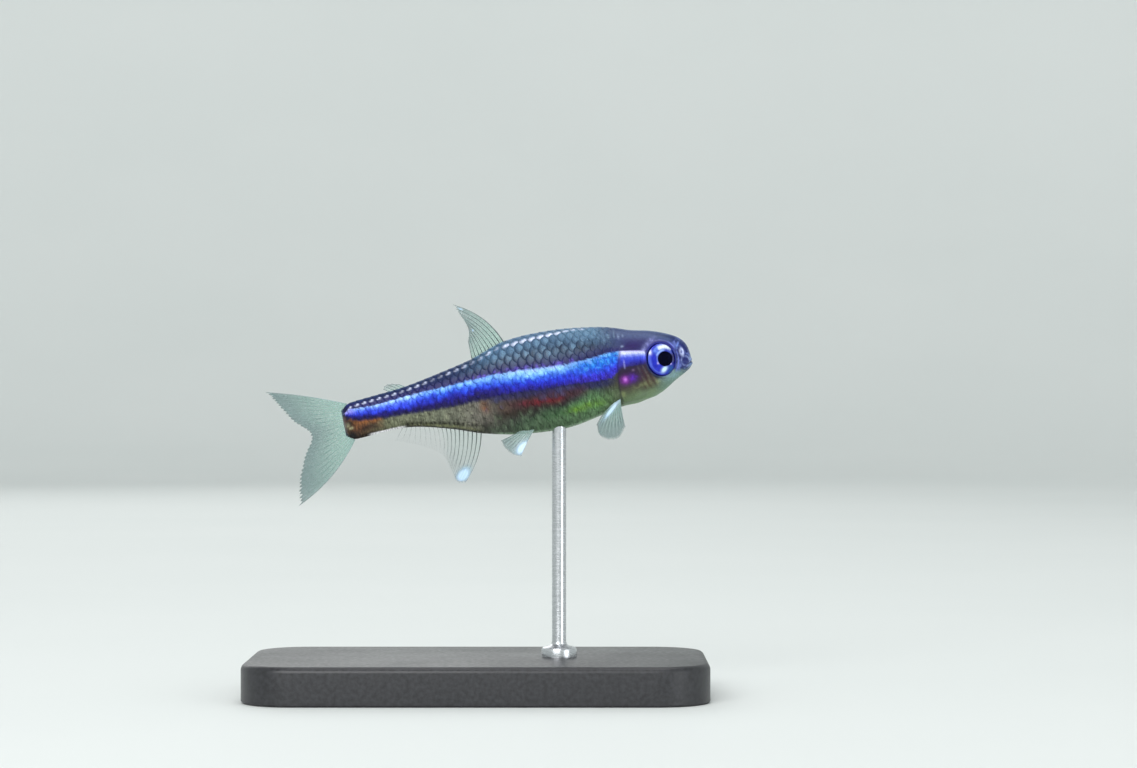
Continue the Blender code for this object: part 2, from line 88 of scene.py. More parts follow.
# Distance from the snout, height of the back, depth of the belly and half width
STATIONS = np.array((
    (0.0, 0.0, -0.06, 0.0),
    (0.1, 0.75, -0.45, 0.48),
    (0.45, 1.26, -0.72, 0.78),
    (1.1, 1.65, -1.06, 0.97),
    (2.1, 2.02, -1.62, 1.14),
    (3.2, 2.28, -1.88, 1.27),
    (4.3, 2.68, -1.98, 1.34),
    (5.4, 2.90, -2.20, 1.38),
    (7.6, 3.14, -2.57, 1.36),
    (10.2, 3.05, -2.42, 1.20),
    (12.3, 2.40, -1.98, 1.00),
    (14.1, 2.01, -1.36, 0.80),
    (16.4, 1.60, -0.80, 0.58),
    (18.2, 1.45, -0.80, 0.45),
    (19.6, 1.32, -0.87, 0.34),
    (20.0, 1.18, -0.76, 0.25),
))

# The skin and its coat
SKIN_END = 20.1
HEAD_END = 4.8
HEAD_RINGS = 230
BODY_RINGS = 110
SKIN_COLUMNS = 300
HEAD_DEPTH = 0.015
COAT_DEPTH = 0.06
SCALE_LENGTH = 0.95
ROW_FIRST = 0.66
ROW_SPACING = 0.45
SCALE_ROWS = 8
SCALE_COLUMNS = 10
SCALE_THICKNESS = 0.008
FIRST_SCALE_S = 3.2
LAST_SCALE_S = 19.6
NAPE_LEVEL = 1.4
PATCH_SIZE = 0.003
SCALE_LINES = 20


def step(low, high, x):
    """0 up to low and 1 from high on, smooth between them; low may be the larger."""
    t = np.clip((x - low) / (high - low), 0.0, 1.0)
    return t * t * (3 - 2 * t)


def band(x, low, high, soft):
    """1 between low and high, fading out over soft on either side."""
    return step(low - soft, low + soft, x) * step(high + soft, high - soft, x)


def ring(x, middle, width):
    """A soft ridge of 1 at middle."""
    return np.exp(-(((x - middle) / width) ** 2))


def spot(s, h, at, size):
    """A soft oval spot of 1 at its middle."""
    return np.exp(-(((s - at[0]) / size[0]) ** 2) - ((h - at[1]) / size[1]) ** 2)


def noise(s, h, z, cell, seed):
    """Smooth noise from 0 to 1 in cells of the given (s, h) size; z sets the two flanks apart."""
    q = np.stack((s / cell[0], h / cell[1], z * 7.3 + seed * 3.1 + 0 * s), -1)
    low = np.floor(q).astype(np.int64)
    t = q - low
    t = t * t * (3 - 2 * t)
    total = 0.0
    for corner in range(8):
        bits = np.array((corner & 1, corner >> 1 & 1, corner >> 2))
        n = ((low + bits) * (73856093, 19349663, 83492791)).sum(-1) + seed * 2654435761
        n = (n ^ (n >> 13)) * 1274126177 & 0xFFFFFFFF
        value = ((n ^ (n >> 16)) & 0xFFFF) / 0xFFFF
        total = total + value * np.prod(np.where(bits, t, 1 - t), -1)
    return total


def smooth_value(column, s):
    """A size of the body at s, from a cubic through the stations that is rounded at the snout."""
    knots, values = np.sqrt(STATIONS[:, 0]), STATIONS[:, column]
    last = len(knots) - 1
    root = np.sqrt(np.maximum(s, 0.0))
    i = np.clip(np.searchsorted(knots, root, side="right") - 1, 0, last - 1)
    low, high = np.maximum(np.arange(last + 1) - 1, 0), np.minimum(np.arange(last + 1) + 1, last)
    slopes = (values[high] - values[low]) / (knots[high] - knots[low])
    gap = knots[i + 1] - knots[i]
    t = np.minimum((root - knots[i]) / gap, 1.0)
    return (
        values[i] * (1 + 2 * t) * (1 - t) ** 2
        + slopes[i] * gap * t * (1 - t) ** 2
        + values[i + 1] * (3 - 2 * t) * t**2
        - slopes[i + 1] * gap * (1 - t) * t**2
    )


def section(s, grow=0.0):
    """(top, bottom, half width, widest level) of the body at s, which thins to a blade at the tail's root."""
    close = step(19.3, SKIN_END, s)
    top = smooth_value(1, s) + grow - 0.14 * close**4
    bottom = smooth_value(2, s) - grow + 0.1 * close**4
    half = (smooth_value(3, s) + grow) * (1 - 0.8 * close)
    return top, bottom, half, top + (bottom - top) * WIDEST_LEVEL


def bend(s):
    """How far the spine lies to the fish's left at s."""
    behind = TAIL_SWEEP * ((s - STRAIGHT_AT) / (LENGTH - STRAIGHT_AT)) ** 2
    ahead = HEAD_SWEEP * ((STRAIGHT_AT - s) / STRAIGHT_AT) ** 2
    return np.where(s > STRAIGHT_AT, behind, ahead)


def surface(s, angle, grow=0.0):
    """Points of the body: angle 0 is the back, and a quarter turn is the fish's left flank."""
    top, bottom, half, middle = section(s, grow)
    up, out = np.cos(angle), np.sin(angle)
    keel = CHEEK_POWER + (KEEL_POWER - CHEEK_POWER) * np.minimum(s / KEEL_FULL_S, 1.0)
    h = middle + np.where(up >= 0, top - middle, middle - bottom) * up
    y = half * np.sign(out) * np.abs(out) ** np.where(up >= 0, 1.0, keel)
    return np.stack((-s, y + bend(s), h), -1)


def normals(s, angle, grow=0.0):
    """Outward unit normals of the body."""
    small = 0.01
    along = surface(s + small, angle, grow) - surface(np.maximum(s - small, 0.0), angle, grow)
    around = surface(s, angle + small, grow) - surface(s, angle - small, grow)
    n = np.cross(along, around)
    return -n / np.maximum(np.linalg.norm(n, axis=-1, keepdims=True), 1e-12)


# Lengths round the body, from the back down one flank to the belly
TABLE_S = np.linspace(0.0, SKIN_END, 403)
TABLE_SHARES = np.linspace(0.0, 1.0, 161)


def measure_girths():
    """Half the girth at each s of the table, and the angle at each share of it."""
    angles = np.linspace(0.0, math.pi, 361)
    s, a = np.meshgrid(TABLE_S, angles, indexing="ij")
    steps = np.linalg.norm(np.diff(surface(s, a), axis=1), axis=-1)
    lengths = np.concatenate((np.zeros((len(TABLE_S), 1)), np.cumsum(steps, axis=1)), axis=1)
    turns = [np.interp(TABLE_SHARES * row[-1], row, angles) for row in lengths]
    return lengths[:, -1], np.array(turns)


GIRTHS, ANGLES = measure_girths()


def girth(s):
    return np.interp(s, TABLE_S, GIRTHS)


def angle_at(s, share):
    """The angle at a share, -1 to 1, of the way round from the back; past the belly is the other flank."""
    side = np.sign(share)
    share = np.abs(share)
    over = share > 1
    share = np.where(over, 2 - share, share)
    i = np.clip(s / SKIN_END * (len(TABLE_S) - 1), 0, len(TABLE_S) - 1.001)
    j = np.clip(share * (len(TABLE_SHARES) - 1), 0, len(TABLE_SHARES) - 1.001)
    i0, j0 = i.astype(int), j.astype(int)
    u, v = i - i0, j - j0
    near = ANGLES[i0, j0] * (1 - v) + ANGLES[i0, j0 + 1] * v
    far = ANGLES[i0 + 1, j0] * (1 - v) + ANGLES[i0 + 1, j0 + 1] * v
    angle = near * (1 - u) + far * u
    return side * np.where(over, math.tau - angle, angle)


def world(points):
    """The fish's frame, in mm, to the stand's, in metres."""
    turn, rise = math.cos(PITCH), math.sin(PITCH)
    x, y, z = points[..., 0], points[..., 1], points[..., 2]
    return np.stack((SNOUT_X + x * turn - z * rise, y, SNOUT_Z + x * rise + z * turn), -1) * MM


# Colour

def srgb(r, g, b):
    c = np.array((r, g, b)) / 255
    return np.where(c <= 0.04045, c / 12.92, ((c + 0.055) / 1.055) ** 2.4)


def tint(r, g, b):
    """A plain colour for a node's socket."""
    return tuple(srgb(r, g, b))


def ramp(t, *stops):
    """Colours along t, from (t, (r, g, b)) stops."""
    places = [place for place, _ in stops]
    colours = np.array([srgb(*colour) for _, colour in stops])
    return np.stack([np.interp(t, places, colours[:, k]) for k in range(3)], -1)


def blend(a, b, t):
    return a + (b - a) * np.clip(t, 0.0, 1.0)[..., None]


def paint(colour, *layers):
    """Paints the layers' colours, plain or one for each point, over the old where each mask is."""
    for new, mask in layers:
        if isinstance(new, tuple):
            new = srgb(*new)
        colour += (new - colour) * np.clip(mask, 0.0, 1.0)[..., None]


def two_tone(dark, light, share):
    return blend(srgb(*dark) + 0 * share[..., None], srgb(*light), share)


STRIPE_S = (2.4, 4.0, 4.65, 5.7, 7.25, 8.77, 10.8, 13.76, 16.0, 17.0, 18.0, 19.2, 19.64)
STRIPE_TOP = (0.92, 1.18, 1.19, 1.04, 1.04, 1.13, 1.24, 1.13, 1.03, 0.96, 0.87, 0.89, 0.96)
STRIPE_BOTTOM = (0.18, 0.22, -0.24, -0.24, -0.08, -0.07, 0.06, 0.02, 0.08, 0.13, 0.18, 0.26, 0.42)
STRIPE_CLOSES = 19.4
STRIPE_END = 19.9


def stripe_edges(s):
    top, bottom = np.interp(s, STRIPE_S, STRIPE_TOP), np.interp(s, STRIPE_S, STRIPE_BOTTOM)
    middle, half = (top + bottom) / 2, (top - bottom) / 2
    closing = np.clip((s - STRIPE_CLOSES) / (STRIPE_END - STRIPE_CLOSES), 0.0, 1.0)
    half = half * np.sqrt(1 - closing**2) + 0.001
    return middle + half, middle - half


def orbit_distance(s, h):
    """Distance from the eye's middle, measured so that the orbit's upright oval is a circle."""
    return np.hypot((s - EYE_AT[0]) / EYE_NARROW, h - EYE_AT[1])


def gill_distance(s, h):
    """How far a point lies behind the gill opening."""
    return np.hypot(s - GILL_CENTRE[0], h - GILL_CENTRE[1]) - GILL_RADIUS


def head_share(s, h):
    """1 on the bare head and 0 on the scaled body."""
    covered = step(0.04, -0.04, gill_distance(s, h))
    nape = step(4.5, 3.2, s)
    return blend(nape[..., None], covered[..., None], step(1.55, 1.25, h))[..., 0]


def dots(s, x, spacing, at, size):
    """A row of soft dots along s, at height at of x."""
    t = (s / spacing) % 1.0 - 0.5
    return np.exp(-((t * spacing / size) ** 2) - ((x - at) / size) ** 2)


def back_colour(s, h, up, above, z):
    """The back: slate blue with paler hearts to its scales, a painted sheen high up, painted glints as pale
    bars on the nape, and a dark violet band next to the stripe.
    """
    mottle = noise(s, h, z, (0.5, 0.4), 1)
    fine = noise(s, h, z, (0.07, 0.3), 2)
    colour = two_tone((24, 32, 56), (60, 86, 114), 0.45 * mottle + 0.55 * fine)
    # Pale upright bars on the nape: painted glints.
    bars = (0.5 + 0.5 * np.cos((s + 0.12 * h + 0.05 * mottle) * math.tau / 0.31)) ** 3
    bars = bars * band(s, 3.9, 6.4, 0.4) * band(h + 0.25 * (mottle - 0.5), 1.75, 2.35, 0.2)
    width = np.interp(s, (4.4, 8.0, 12.0, 20.0), (0.4, 0.5, 0.5, 0.5))
    lilac = step(0.5, 0.7, fine) * band(above, 0.02, 0.2, 0.07) * band(s, 5.6, 12.5, 0.6)
    paint(
        colour,
        # Painted sheen: pale blue high on the back.
        ((90, 130, 166), step(1.3, 0.1, up) * band(s, 4.6, 12.0, 1.0) * 0.58),
        ((22, 34, 82), step(10.8, 14.0, s) * 0.85),
        ((76, 104, 134), step(1.0, 0.4, up) * band(s, 3.8, 11.5, 0.8) * 0.45),
        ((96, 134, 160), step(0.9, 0.3, up) * band(s, 4.6, 7.2, 0.6) * 0.4),
        ((54, 66, 106), step(5.4, 3.8, s) * 0.7),
        ((40, 46, 88), step(0.75, 0.35, above) * band(s, 4.4, 11.8, 0.8) * 0.75),
        # Painted glints on the nape.
        ((136, 166, 190), bars * step(0.35, 0.75, fine) * 0.45),
        ((26, 22, 92), step(width, 0.1, above) * 0.9),
        ((96, 76, 196), lilac * 0.8),
        ((14, 18, 72), band(above, 0.0, 0.24, 0.08) * band(s, 4.6, 6.4, 0.4) * 0.9),
        ((92, 122, 152), step(0.14, 0.03, up) * 0.45),
    )
    return colour


def stripe_colour(s, h, level, z):
    """The stripe: pale cyan at its top, azure, royal blue and violet at its bottom."""
    fine = noise(s, h, z, (0.07, 0.2), 3)
    coarse = noise(s, h, z, (0.3, 0.2), 4)
    calm = 0.3 + 0.7 * step(-0.05, 0.05, gill_distance(s, h))
    level = level + ((fine - 0.5) * 0.22 + (coarse - 0.5) * 0.14) * calm
    body = ramp(
        level, (0.0, (36, 30, 124)), (0.18, (36, 36, 176)), (0.4, (36, 58, 216)), (0.58, (62, 112, 238)),
        (0.72, (108, 170, 246)), (0.88, (148, 202, 250)), (1.0, (146, 172, 248)),
    )
    front = ramp(
        level, (0.0, (52, 36, 160)), (0.22, (56, 54, 214)), (0.5, (46, 84, 230)), (0.72, (26, 108, 216)),
        (0.88, (46, 128, 222)), (1.0, (120, 176, 244)),
    )
    trunk = ramp(
        level, (0.0, (26, 18, 74)), (0.2, (30, 22, 100)), (0.38, (32, 30, 150)), (0.55, (36, 62, 214)),
        (0.72, (52, 98, 228)), (0.86, (88, 148, 238)), (1.0, (120, 168, 244)),
    )
    rear = ramp(
        level, (0.0, (24, 16, 72)), (0.22, (28, 24, 128)), (0.42, (44, 62, 222)), (0.62, (66, 92, 240)),
        (0.84, (106, 146, 250)), (1.0, (150, 186, 252)),
    )
    head = ramp(
        level, (0.0, (34, 24, 90)), (0.2, (38, 38, 150)), (0.4, (48, 60, 196)), (0.56, (72, 88, 214)),
        (0.7, (140, 156, 238)), (0.83, (214, 220, 255)), (0.94, (204, 206, 250)), (1.0, (150, 134, 214)),
    )
    weave = noise(s, h, z, (0.15, 0.12), 16)
    paint(
        front,
        ((22, 62, 184), step(0.52, 0.3, weave) * band(level, 0.3, 1.0, 0.15) * 0.75),
        ((84, 176, 240), step(0.66, 0.85, weave) * band(level, 0.45, 1.0, 0.1) * 0.6),
        (body, step(6.0, 7.6, s)),
        (trunk, step(9.8, 11.8, s)),
        (rear, step(14.5, 17.0, s)),
        ((168, 158, 248), step(19.1, 19.8, s) * step(0.3, 0.7, level) * 0.8),
        (head, step(0.05, -0.05, gill_distance(s, h))),
    )
    return front * (0.87 + (fine - 0.5) * 0.45 * calm)[..., None]


def flank_colour(s, h, below, low, z):
    """Below the stripe: slate, a dark red streak, a green belly, and grey olive to brown at the rear."""
    mottle = noise(s, h, z, (0.45, 0.35), 5)
    fine = noise(s, h, z, (0.06, 0.36), 6)
    flecks = noise(s, h, z, (0.07, 0.07), 7)
    rough = noise(s, h, z, (0.16, 0.12), 14)
    colour = ramp(
        s, (4.4, (62, 62, 48)), (5.6, (46, 54, 60)), (7.4, (36, 33, 50)), (9.6, (46, 40, 45)),
        (11.2, (72, 66, 60)), (12.5, (108, 105, 96)), (14.5, (112, 116, 98)), (17.4, (106, 110, 86)),
        (19.0, (80, 62, 42)),
    )
    lower = ramp(
        s, (4.6, (78, 92, 66)), (6.0, (88, 130, 82)), (7.6, (58, 92, 56)), (10.0, (54, 70, 54)),
        (11.6, (72, 78, 68)), (12.6, (72, 73, 62)),
    )
    reach = np.interp(s, (4.4, 6.4, 7.6, 12.0), (-0.8, -0.85, -1.3, -1.45)) + 0.3 * (mottle - 0.5)
    patches = spot(s, h, (5.9, -1.46), (0.62, 0.2)) + 0.95 * spot(s, h, (6.85, -1.62), (0.5, 0.2))
    middle = np.interp(s, (7.4, 8.6, 10.2), (-0.86, -0.8, -0.66)) + 0.16 * (rough - 0.5)
    red = ring(h, middle, 0.17) * band(s, 7.6, 10.1, 0.35) * step(12.0, 8.4, s)
    thin = noise(s, h, z, (0.13, 0.3), 15)
    streaks = step(0.55, 0.8, thin) * band(h, -2.2, -1.0, 0.25) * band(s, 5.0, 12.0, 0.7)
    upper = np.interp(s, (12.6, 14.0, 15.0, 16.5), (0.5, 0.4, 0.32, 0.24))
    fold = ring(low, 0.55 * upper, 0.06) * band(s, 12.8, 16.4, 0.3)
    rows = dots(s, low, 0.26, upper, 0.08) + dots(s + 0.1, low, 0.22, 0.08, 0.08)
    rusty = two_tone((132, 84, 50), (52, 34, 26), 1.9 * mottle - 0.35 + 0.4 * (rough - 0.5))
    cream = spot(s, h, (19.9, 0.06), (0.1, 0.12)) + spot(s, h, (19.72, -0.16), (0.1, 0.06))
    paint(
        colour,
        (lower, step(0.3, -0.3, h - reach) * step(13.2, 12.2, s) * 0.95),
        ((34, 30, 20), ring(h - reach, 0.24, 0.24) * band(s, 6.9, 11.4, 0.5) * 0.75),
        ((34, 36, 50), spot(s, h, (6.7, -0.72), (0.55, 0.4)) * 0.6),
        ((88, 132, 84), spot(s, h, (7.0, -1.9), (1.0, 0.22)) * 0.6),
        ((98, 138, 48), patches * (0.15 + 0.7 * mottle + 0.6 * fine)),
        ((86, 108, 82), step(-1.6, -2.0, h) * band(s, 5.2, 10.4, 0.6) * 0.6),
        ((30, 32, 78), band(below, 0.0, 0.36, 0.16) * band(s, 4.6, 11.6, 0.6) * 0.9),
        ((34, 30, 58), band(below, 0.0, 0.12, 0.1) * step(11.0, 12.0, s) * 0.85),
        ((72, 34, 42), ring(h, -0.62, 0.34) * band(s, 6.2, 11.0, 0.6) * (0.25 + 0.5 * mottle)),
        ((98, 18, 28), red * (0.35 + 0.6 * fine + 0.4 * rough)),
        ((118, 72, 46), spot(s, h, (12.0, -0.42), (0.26, 0.32)) * (0.4 + 0.6 * rough)),
        ((100, 76, 56), spot(s, h, (10.9, -0.75), (0.4, 0.25)) * 0.5 * rough),
        ((108, 130, 102), streaks * 0.3),
        ((26, 24, 26), step(0.45, 0.2, fine) * band(s, 5.0, 12.3, 0.5) * 0.4),
        ((70, 74, 120), step(0.6, 0.85, thin) * band(h, -0.7, 0.05, 0.15) * band(s, 6.5, 12.4, 0.5) * 0.35),
        ((30, 28, 28), ring(s, 12.15 + 0.1 * (rough - 0.5), 0.08) * band(h, -1.9, -0.95, 0.2) * 0.7),
        ((44, 40, 32), step(0.56, 0.72, flecks) * band(s, 12.4, 18.0, 0.4) * 0.6),
        ((146, 148, 124), step(0.55, 0.85, thin) * band(s, 12.4, 17.6, 0.4) * 0.45),
        ((50, 50, 44), step(0.42, 0.15, thin) * band(s, 12.4, 17.6, 0.4) * 0.4),
        ((150, 178, 146), step(0.24, 0.08, low) * band(s, 4.4, 11.6, 0.4) * 0.75),
        ((102, 112, 66), band(low, 0.14, 0.32, 0.08) * band(s, 12.6, 16.4, 0.3) * 0.6 * rough),
        ((30, 26, 18), step(0.12, 0.04, low) * band(s, 12.0, 16.6, 0.3) * 0.85),
        ((150, 150, 112), fold * (0.2 + 0.5 * rough)),
        ((18, 14, 8), rows * band(s, 12.4, 16.7, 0.3) * (1.1 + 0.8 * rough)),
        (rusty, step(17.5, 18.7, s + 0.9 * (rough - 0.5)) * step(0.16, 0.6, low) * 0.92),
        ((150, 92, 46), ring(below, 0.14, 0.12) * band(s, 18.0, 19.5, 0.2) * 0.7 * (0.4 + rough)),
        ((30, 24, 18), band(low, 0.04, 0.26, 0.07) * step(17.8, 18.6, s) * 0.85),
        ((248, 246, 250), step(0.19, 0.12, low) * band(s, 16.7, 18.7, 0.18)),
        ((16, 14, 16), spot(s, h, (19.72, -0.58), (0.3, 0.3)) * 1.1),
        ((30, 20, 20), ring(s, 19.3 + 0.1 * (mottle - 0.5), 0.07) * 0.6),
        ((186, 180, 140), cream * 1.1),
        ((22, 18, 70), step(0.16, 0.02, below) * step(4.6, 5.2, s) * 0.9),
    )
    return colour


def streak_share(s, h):
    """How strongly fine upright streaks break the colour: most below the stripe, little on the head."""
    below = step(0.4, 0.0, h)
    return (0.9 + 1.3 * below) * step(3.9, 5.0, s) + 0.25


def gills_seen(s, h, z):
    """Dark bars of the gills, which show through the cheek, leaning a little forwards as they go down."""
    wander = noise(s, h, z, (0.35, 0.45), 10)
    bars = 0.5 + 0.5 * np.cos((s - 0.32 * h - 2.72 + 0.16 * wander) * math.tau / 0.3)
    return bars**2 * band(s - 0.32 * h, 2.5, 3.3, 0.12) * band(h, -1.15, 0.1, 0.15)


def mouth_level(s):
    """The height of the mouth's line at s."""
    return MOUTH_FRONT_H + (MOUTH_CORNER[1] - MOUTH_FRONT_H) * s / MOUTH_CORNER[0]


def head_colour(s, h, up, low, z):
    """The bare head: slate violet above, olive cheeks, a magenta gill spot and a pale jaw."""
    mottle = noise(s, h, z, (0.3, 0.3), 8)
    fine = noise(s, h, z, (0.1, 0.1), 9)
    orbit = orbit_distance(s, h)
    turn = np.degrees(np.arctan2(h - EYE_AT[1], EYE_AT[0] - s))
    colour = two_tone((36, 40, 84), (66, 74, 124), 0.6 * mottle + 0.4 * fine)
    glints = spot(s, h, (3.86, 2.0), (0.06, 0.15)) + 0.8 * spot(s, h, (3.6, 1.98), (0.05, 0.09))
    glints = glints + spot(s, h, (3.75, 1.4), (0.09, 0.06))
    lower = ramp(
        h, (-1.9, (104, 132, 96)), (-1.4, (92, 108, 76)), (-0.9, (74, 70, 54)), (-0.4, (46, 36, 44)),
        (0.0, (30, 24, 60)),
    )
    loops = ring(np.hypot(s - 3.35, h + 0.85), 0.18, 0.05) * step(-0.8, -0.95, h)
    limit = np.interp(s, (0.0, 0.6, 0.9, 2.5, 4.4), (-0.2, -0.42, -0.5, 0.2, 0.36))
    snout = two_tone((96, 112, 180), (26, 34, 96), step(0.28, 0.62, fine * 0.5 + mottle * 0.5))
    loop = ring(np.hypot((s - 0.38) / 0.85, h + 0.08), 0.27, 0.05)
    mouth = mouth_level(s)
    lid = band(turn, 20.0, 172.0, 12.0)
    brow = ring(orbit, 1.24, 0.12) * band(turn, 92.0, 150.0, 12.0)
    nose = np.hypot((s - NOSTRIL_AT[0]) / 0.6, (h - NOSTRIL_AT[1]) / 1.15)
    # How bright the painted highlight on the nostril's rim is: more towards the snout, and patchy.
    lit = 0.25 + 0.5 * fine + 0.5 * step(0.1, -0.1, s - NOSTRIL_AT[0])
    edge = gill_distance(s, h)
    paint(
        lower,
        ((126, 138, 92), step(0.5, 0.85, mottle) * band(h, -1.6, -0.8, 0.2) * 0.7),
        ((56, 40, 40), step(0.5, 0.2, mottle) * band(s, 2.4, 4.4, 0.3) * band(h, -1.7, -0.1, 0.2) * 0.6),
        ((118, 142, 110), spot(s, h, (2.9, -1.5), (0.7, 0.28)) * 0.7),
        ((62, 36, 36), gills_seen(s, h, z) * (0.3 + 0.8 * fine)),
        ((132, 118, 98), gills_seen(s + 0.15, h, z) * (0.05 + 0.4 * fine)),
        ((34, 18, 44), spot(s, h, (3.75, -0.3), (0.66, 0.62)) * 1.1),
        ((76, 26, 108), spot(s, h, (3.75, -0.46), (0.5, 0.26)) * (0.5 + 0.9 * fine)),
        ((84, 34, 178), spot(s, h, (3.5, -0.43), (0.22, 0.17)) * (0.2 + 1.1 * fine)),
        ((140, 52, 160), spot(s, h, (3.95, -0.48), (0.2, 0.2)) * (0.5 + 0.8 * fine)),
        ((196, 118, 222), spot(s, h, (3.93, -0.44), (0.08, 0.11)) * 0.9),
        ((146, 116, 156), spot(s, h, (3.4, -0.02), (0.08, 0.06)) * 0.4),
        ((140, 144, 104), loops * 0.25),
        ((106, 136, 122), step(2.4, 1.3, s + 0.5 * (h + 0.8)) * 0.9),
        ((60, 86, 104), step(0.45, 0.75, mottle) * step(2.2, 1.2, s) * 0.7),
        ((134, 164, 176), spot(s, h, (1.3, -0.72), (0.55, 0.26)) * (0.1 + 1.0 * fine)),
        ((140, 164, 150), step(0.62, 0.8, fine) * step(2.2, 1.4, s) * 0.5),
        ((132, 158, 124), step(0.2, 0.05, low) * step(1.2, 2.0, s) * 0.5),
    )
    paint(
        colour,
        ((64, 84, 124), band(up, 0.1, 0.5, 0.15) * 0.6),
        ((24, 42, 82), ring(up, 0.2, 0.08) * step(2.3, 1.2, s) * 0.6),
        ((38, 24, 84), spot(s, h, (3.25, 1.3), (0.9, 0.34)) * 0.95),
        ((96, 126, 156), step(0.14, 0.03, up) * 0.45),
        ((170, 190, 226), glints * (0.2 + 0.6 * fine)),
        (lower, step(0.08, -0.08, h - limit)),
        (snout, step(1.15, 0.75, s) * step(-0.75, -0.35, h) * 0.95),
        ((28, 36, 104), spot(s, h, (0.4, -0.12), (0.13, 0.17)) * 0.8),
        ((136, 150, 206), loop * step(0.42, 0.62, fine * 0.5 + mottle * 0.5) * 0.8),
        ((22, 44, 84), ring(up, 0.2, 0.07) * step(1.4, 0.9, s) * 0.6),
        ((104, 132, 172), step(0.12, 0.03, up) * step(1.6, 0.6, s) * 0.45),
        ((138, 160, 200), ring(h, mouth + 0.2, 0.17) * step(0.22, 0.08, s) * 0.8),
        ((118, 144, 172), ring(h, mouth - 0.15, 0.12) * step(0.4, 0.2, s) * 0.8),
        # Painted shade along the mouth's groove.
        ((36, 46, 84), ring(h, mouth, 0.03) * step(0.6, 0.4, s) * 0.7),
        ((128, 132, 190), brow * (0.35 + 0.6 * step(0.35, 0.75, fine))),
        ((96, 96, 178), ring(orbit, 1.12, 0.05) * lid * (0.15 + 0.5 * fine)),
        ((112, 124, 214), ring(orbit, 1.13, 0.05) * band(np.abs(turn - 4), -1.0, 50.0, 12.0) * 0.8),
        ((30, 28, 120), ring(orbit, 0.99, 0.06) * lid * 0.85),
        ((40, 46, 150), step(0.98, 0.92, orbit) * 0.9),
        ((14, 34, 60), ring(orbit, 1.0, 0.08) * band(np.abs(turn + 135), -1.0, 34.0, 15.0) * 0.95),
        ((26, 32, 100), ring(nose, 0.32, 0.08) * 0.6),
        # Painted highlight on the nostril's raised rim.
        ((200, 210, 252), ring(nose, 0.13, 0.085) * lit),
        ((96, 104, 168), step(0.07, 0.03, nose) * 0.8),
        ((104, 132, 206), spot(s + 0.75 * (h - 0.85), h, (0.68, 0.85), (0.045, 0.15)) * 0.9),
        ((24, 28, 92), spot(s, h, (0.82, 0.62), (0.07, 0.2)) * 0.8),
        ((40, 24, 44), ring(edge, -0.02, 0.06) * band(h, -1.7, 1.2, 0.15) * 0.35),
    )
    return colour


def markings(s, h, z, scale_h=None):
    """The whole skin's colours at (s, h); on a scale, its own middle height draws the stripe's edge."""
    top, bottom, _, _ = section(s)
    up, low = top - h, h - bottom
    seen = h if scale_h is None else 0.94 * h + 0.06 * scale_h
    stripe_top, stripe_bottom = stripe_edges(s)
    ragged = (noise(s, h, z, (0.08, 2.0), 13) - 0.5) * 0.1 * step(4.6, 5.0, s)
    above, below = seen - stripe_top + ragged, stripe_bottom - seen - ragged
    colour = back_colour(s, h, up, above, z)
    middle = (stripe_top + stripe_bottom) / 2
    outside = np.maximum(above, below)
    inside = step(0.035, -0.035, outside) * step(2.5, 2.62, s)
    level = (seen - stripe_bottom) / (stripe_top - stripe_bottom)
    line = gill_distance(s, h)
    curve = ring(line, -0.36 + 0.16 * (h - 0.4), 0.04) * band(h, 0.16, 0.62, 0.1)
    paint(
        colour,
        (flank_colour(s, h, below, low, z), step(0.05, -0.05, seen - middle)),
        (head_colour(s, h, up, low, z), head_share(s, h)),
        ((24, 16, 62), step(0.12, 0.0, outside) * step(18.8, 19.3, s)),
        ((20, 18, 40), ring(s, 19.9, 0.1) * band(h, 0.0, 1.3, 0.1) * 0.9),
        (stripe_colour(s, h, level, z), inside),
        ((170, 172, 244), curve * 0.4),
        ((30, 22, 92), ring(line, -0.06, 0.05) * band(h, 0.5, 1.15, 0.15) * 0.8),
        ((34, 24, 60), ring(line, 0.0, 0.05) * band(h, -1.6, 0.6, 0.2) * 0.3),
        ((84, 104, 118), step(19.95, 20.08, s) * 0.6),
    )
    return colour, inside


# Meshes

def grid_faces(rows, columns, wrap=False):
    """Quads over a grid of points that are numbered row by row."""
    row = np.arange(rows - 1)[:, None] * columns
    column = np.arange(columns if wrap else columns - 1)[None, :]
    after = (column + 1) % columns
    corners = (row + column, row + after, row + columns + after, row + columns + column)
    return np.stack(corners, -1).reshape(-1, 4)


def add_piece(name, points, faces, material, colour=None, numbers=None, uv=None, sharp=None):
    """A smooth mesh piece that rides on the model, from points in metres and lists of faces."""
    mesh = bpy.data.meshes.new(name)
    mesh.from_pydata([tuple(p) for p in points.tolist()], [], faces)
    mesh.update()
    if colour is not None:
        rgba = np.concatenate((np.clip(colour, 0, 1), np.ones((len(points), 1))), -1).astype(np.float32)
        mesh.color_attributes.new("markings", "FLOAT_COLOR", "POINT").data.foreach_set("color", rgba.ravel())
    for key, values in (numbers or {}).items():
        mesh.attributes.new(key, "FLOAT", "POINT").data.foreach_set("value", values.astype(np.float32))
    if uv is not None:
        mesh.uv_layers.new(name="OFBake").uv.foreach_set("vector", uv.astype(np.float32).ravel())
    mesh.shade_smooth()
    if sharp:
        mesh.set_sharp_from_angle(angle=math.radians(sharp))
    obj = bpy.data.objects.new(name, mesh)
    bpy.context.scene.collection.objects.link(obj)
    mesh.materials.append(material)
    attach(obj, "root")
    return obj


def signed_volume(points, quads):
    a, b, c, d = (points[quads[:, k]] for k in range(4))
    return (np.einsum("ij,ij->i", a, np.cross(b, c)) + np.einsum("ij,ij->i", a, np.cross(c, d))).sum()


def outward(points, quads):
    """The quads, turned so that their closed mesh faces outwards."""
    return quads if signed_volume(points, quads) > 0 else quads[:, ::-1]


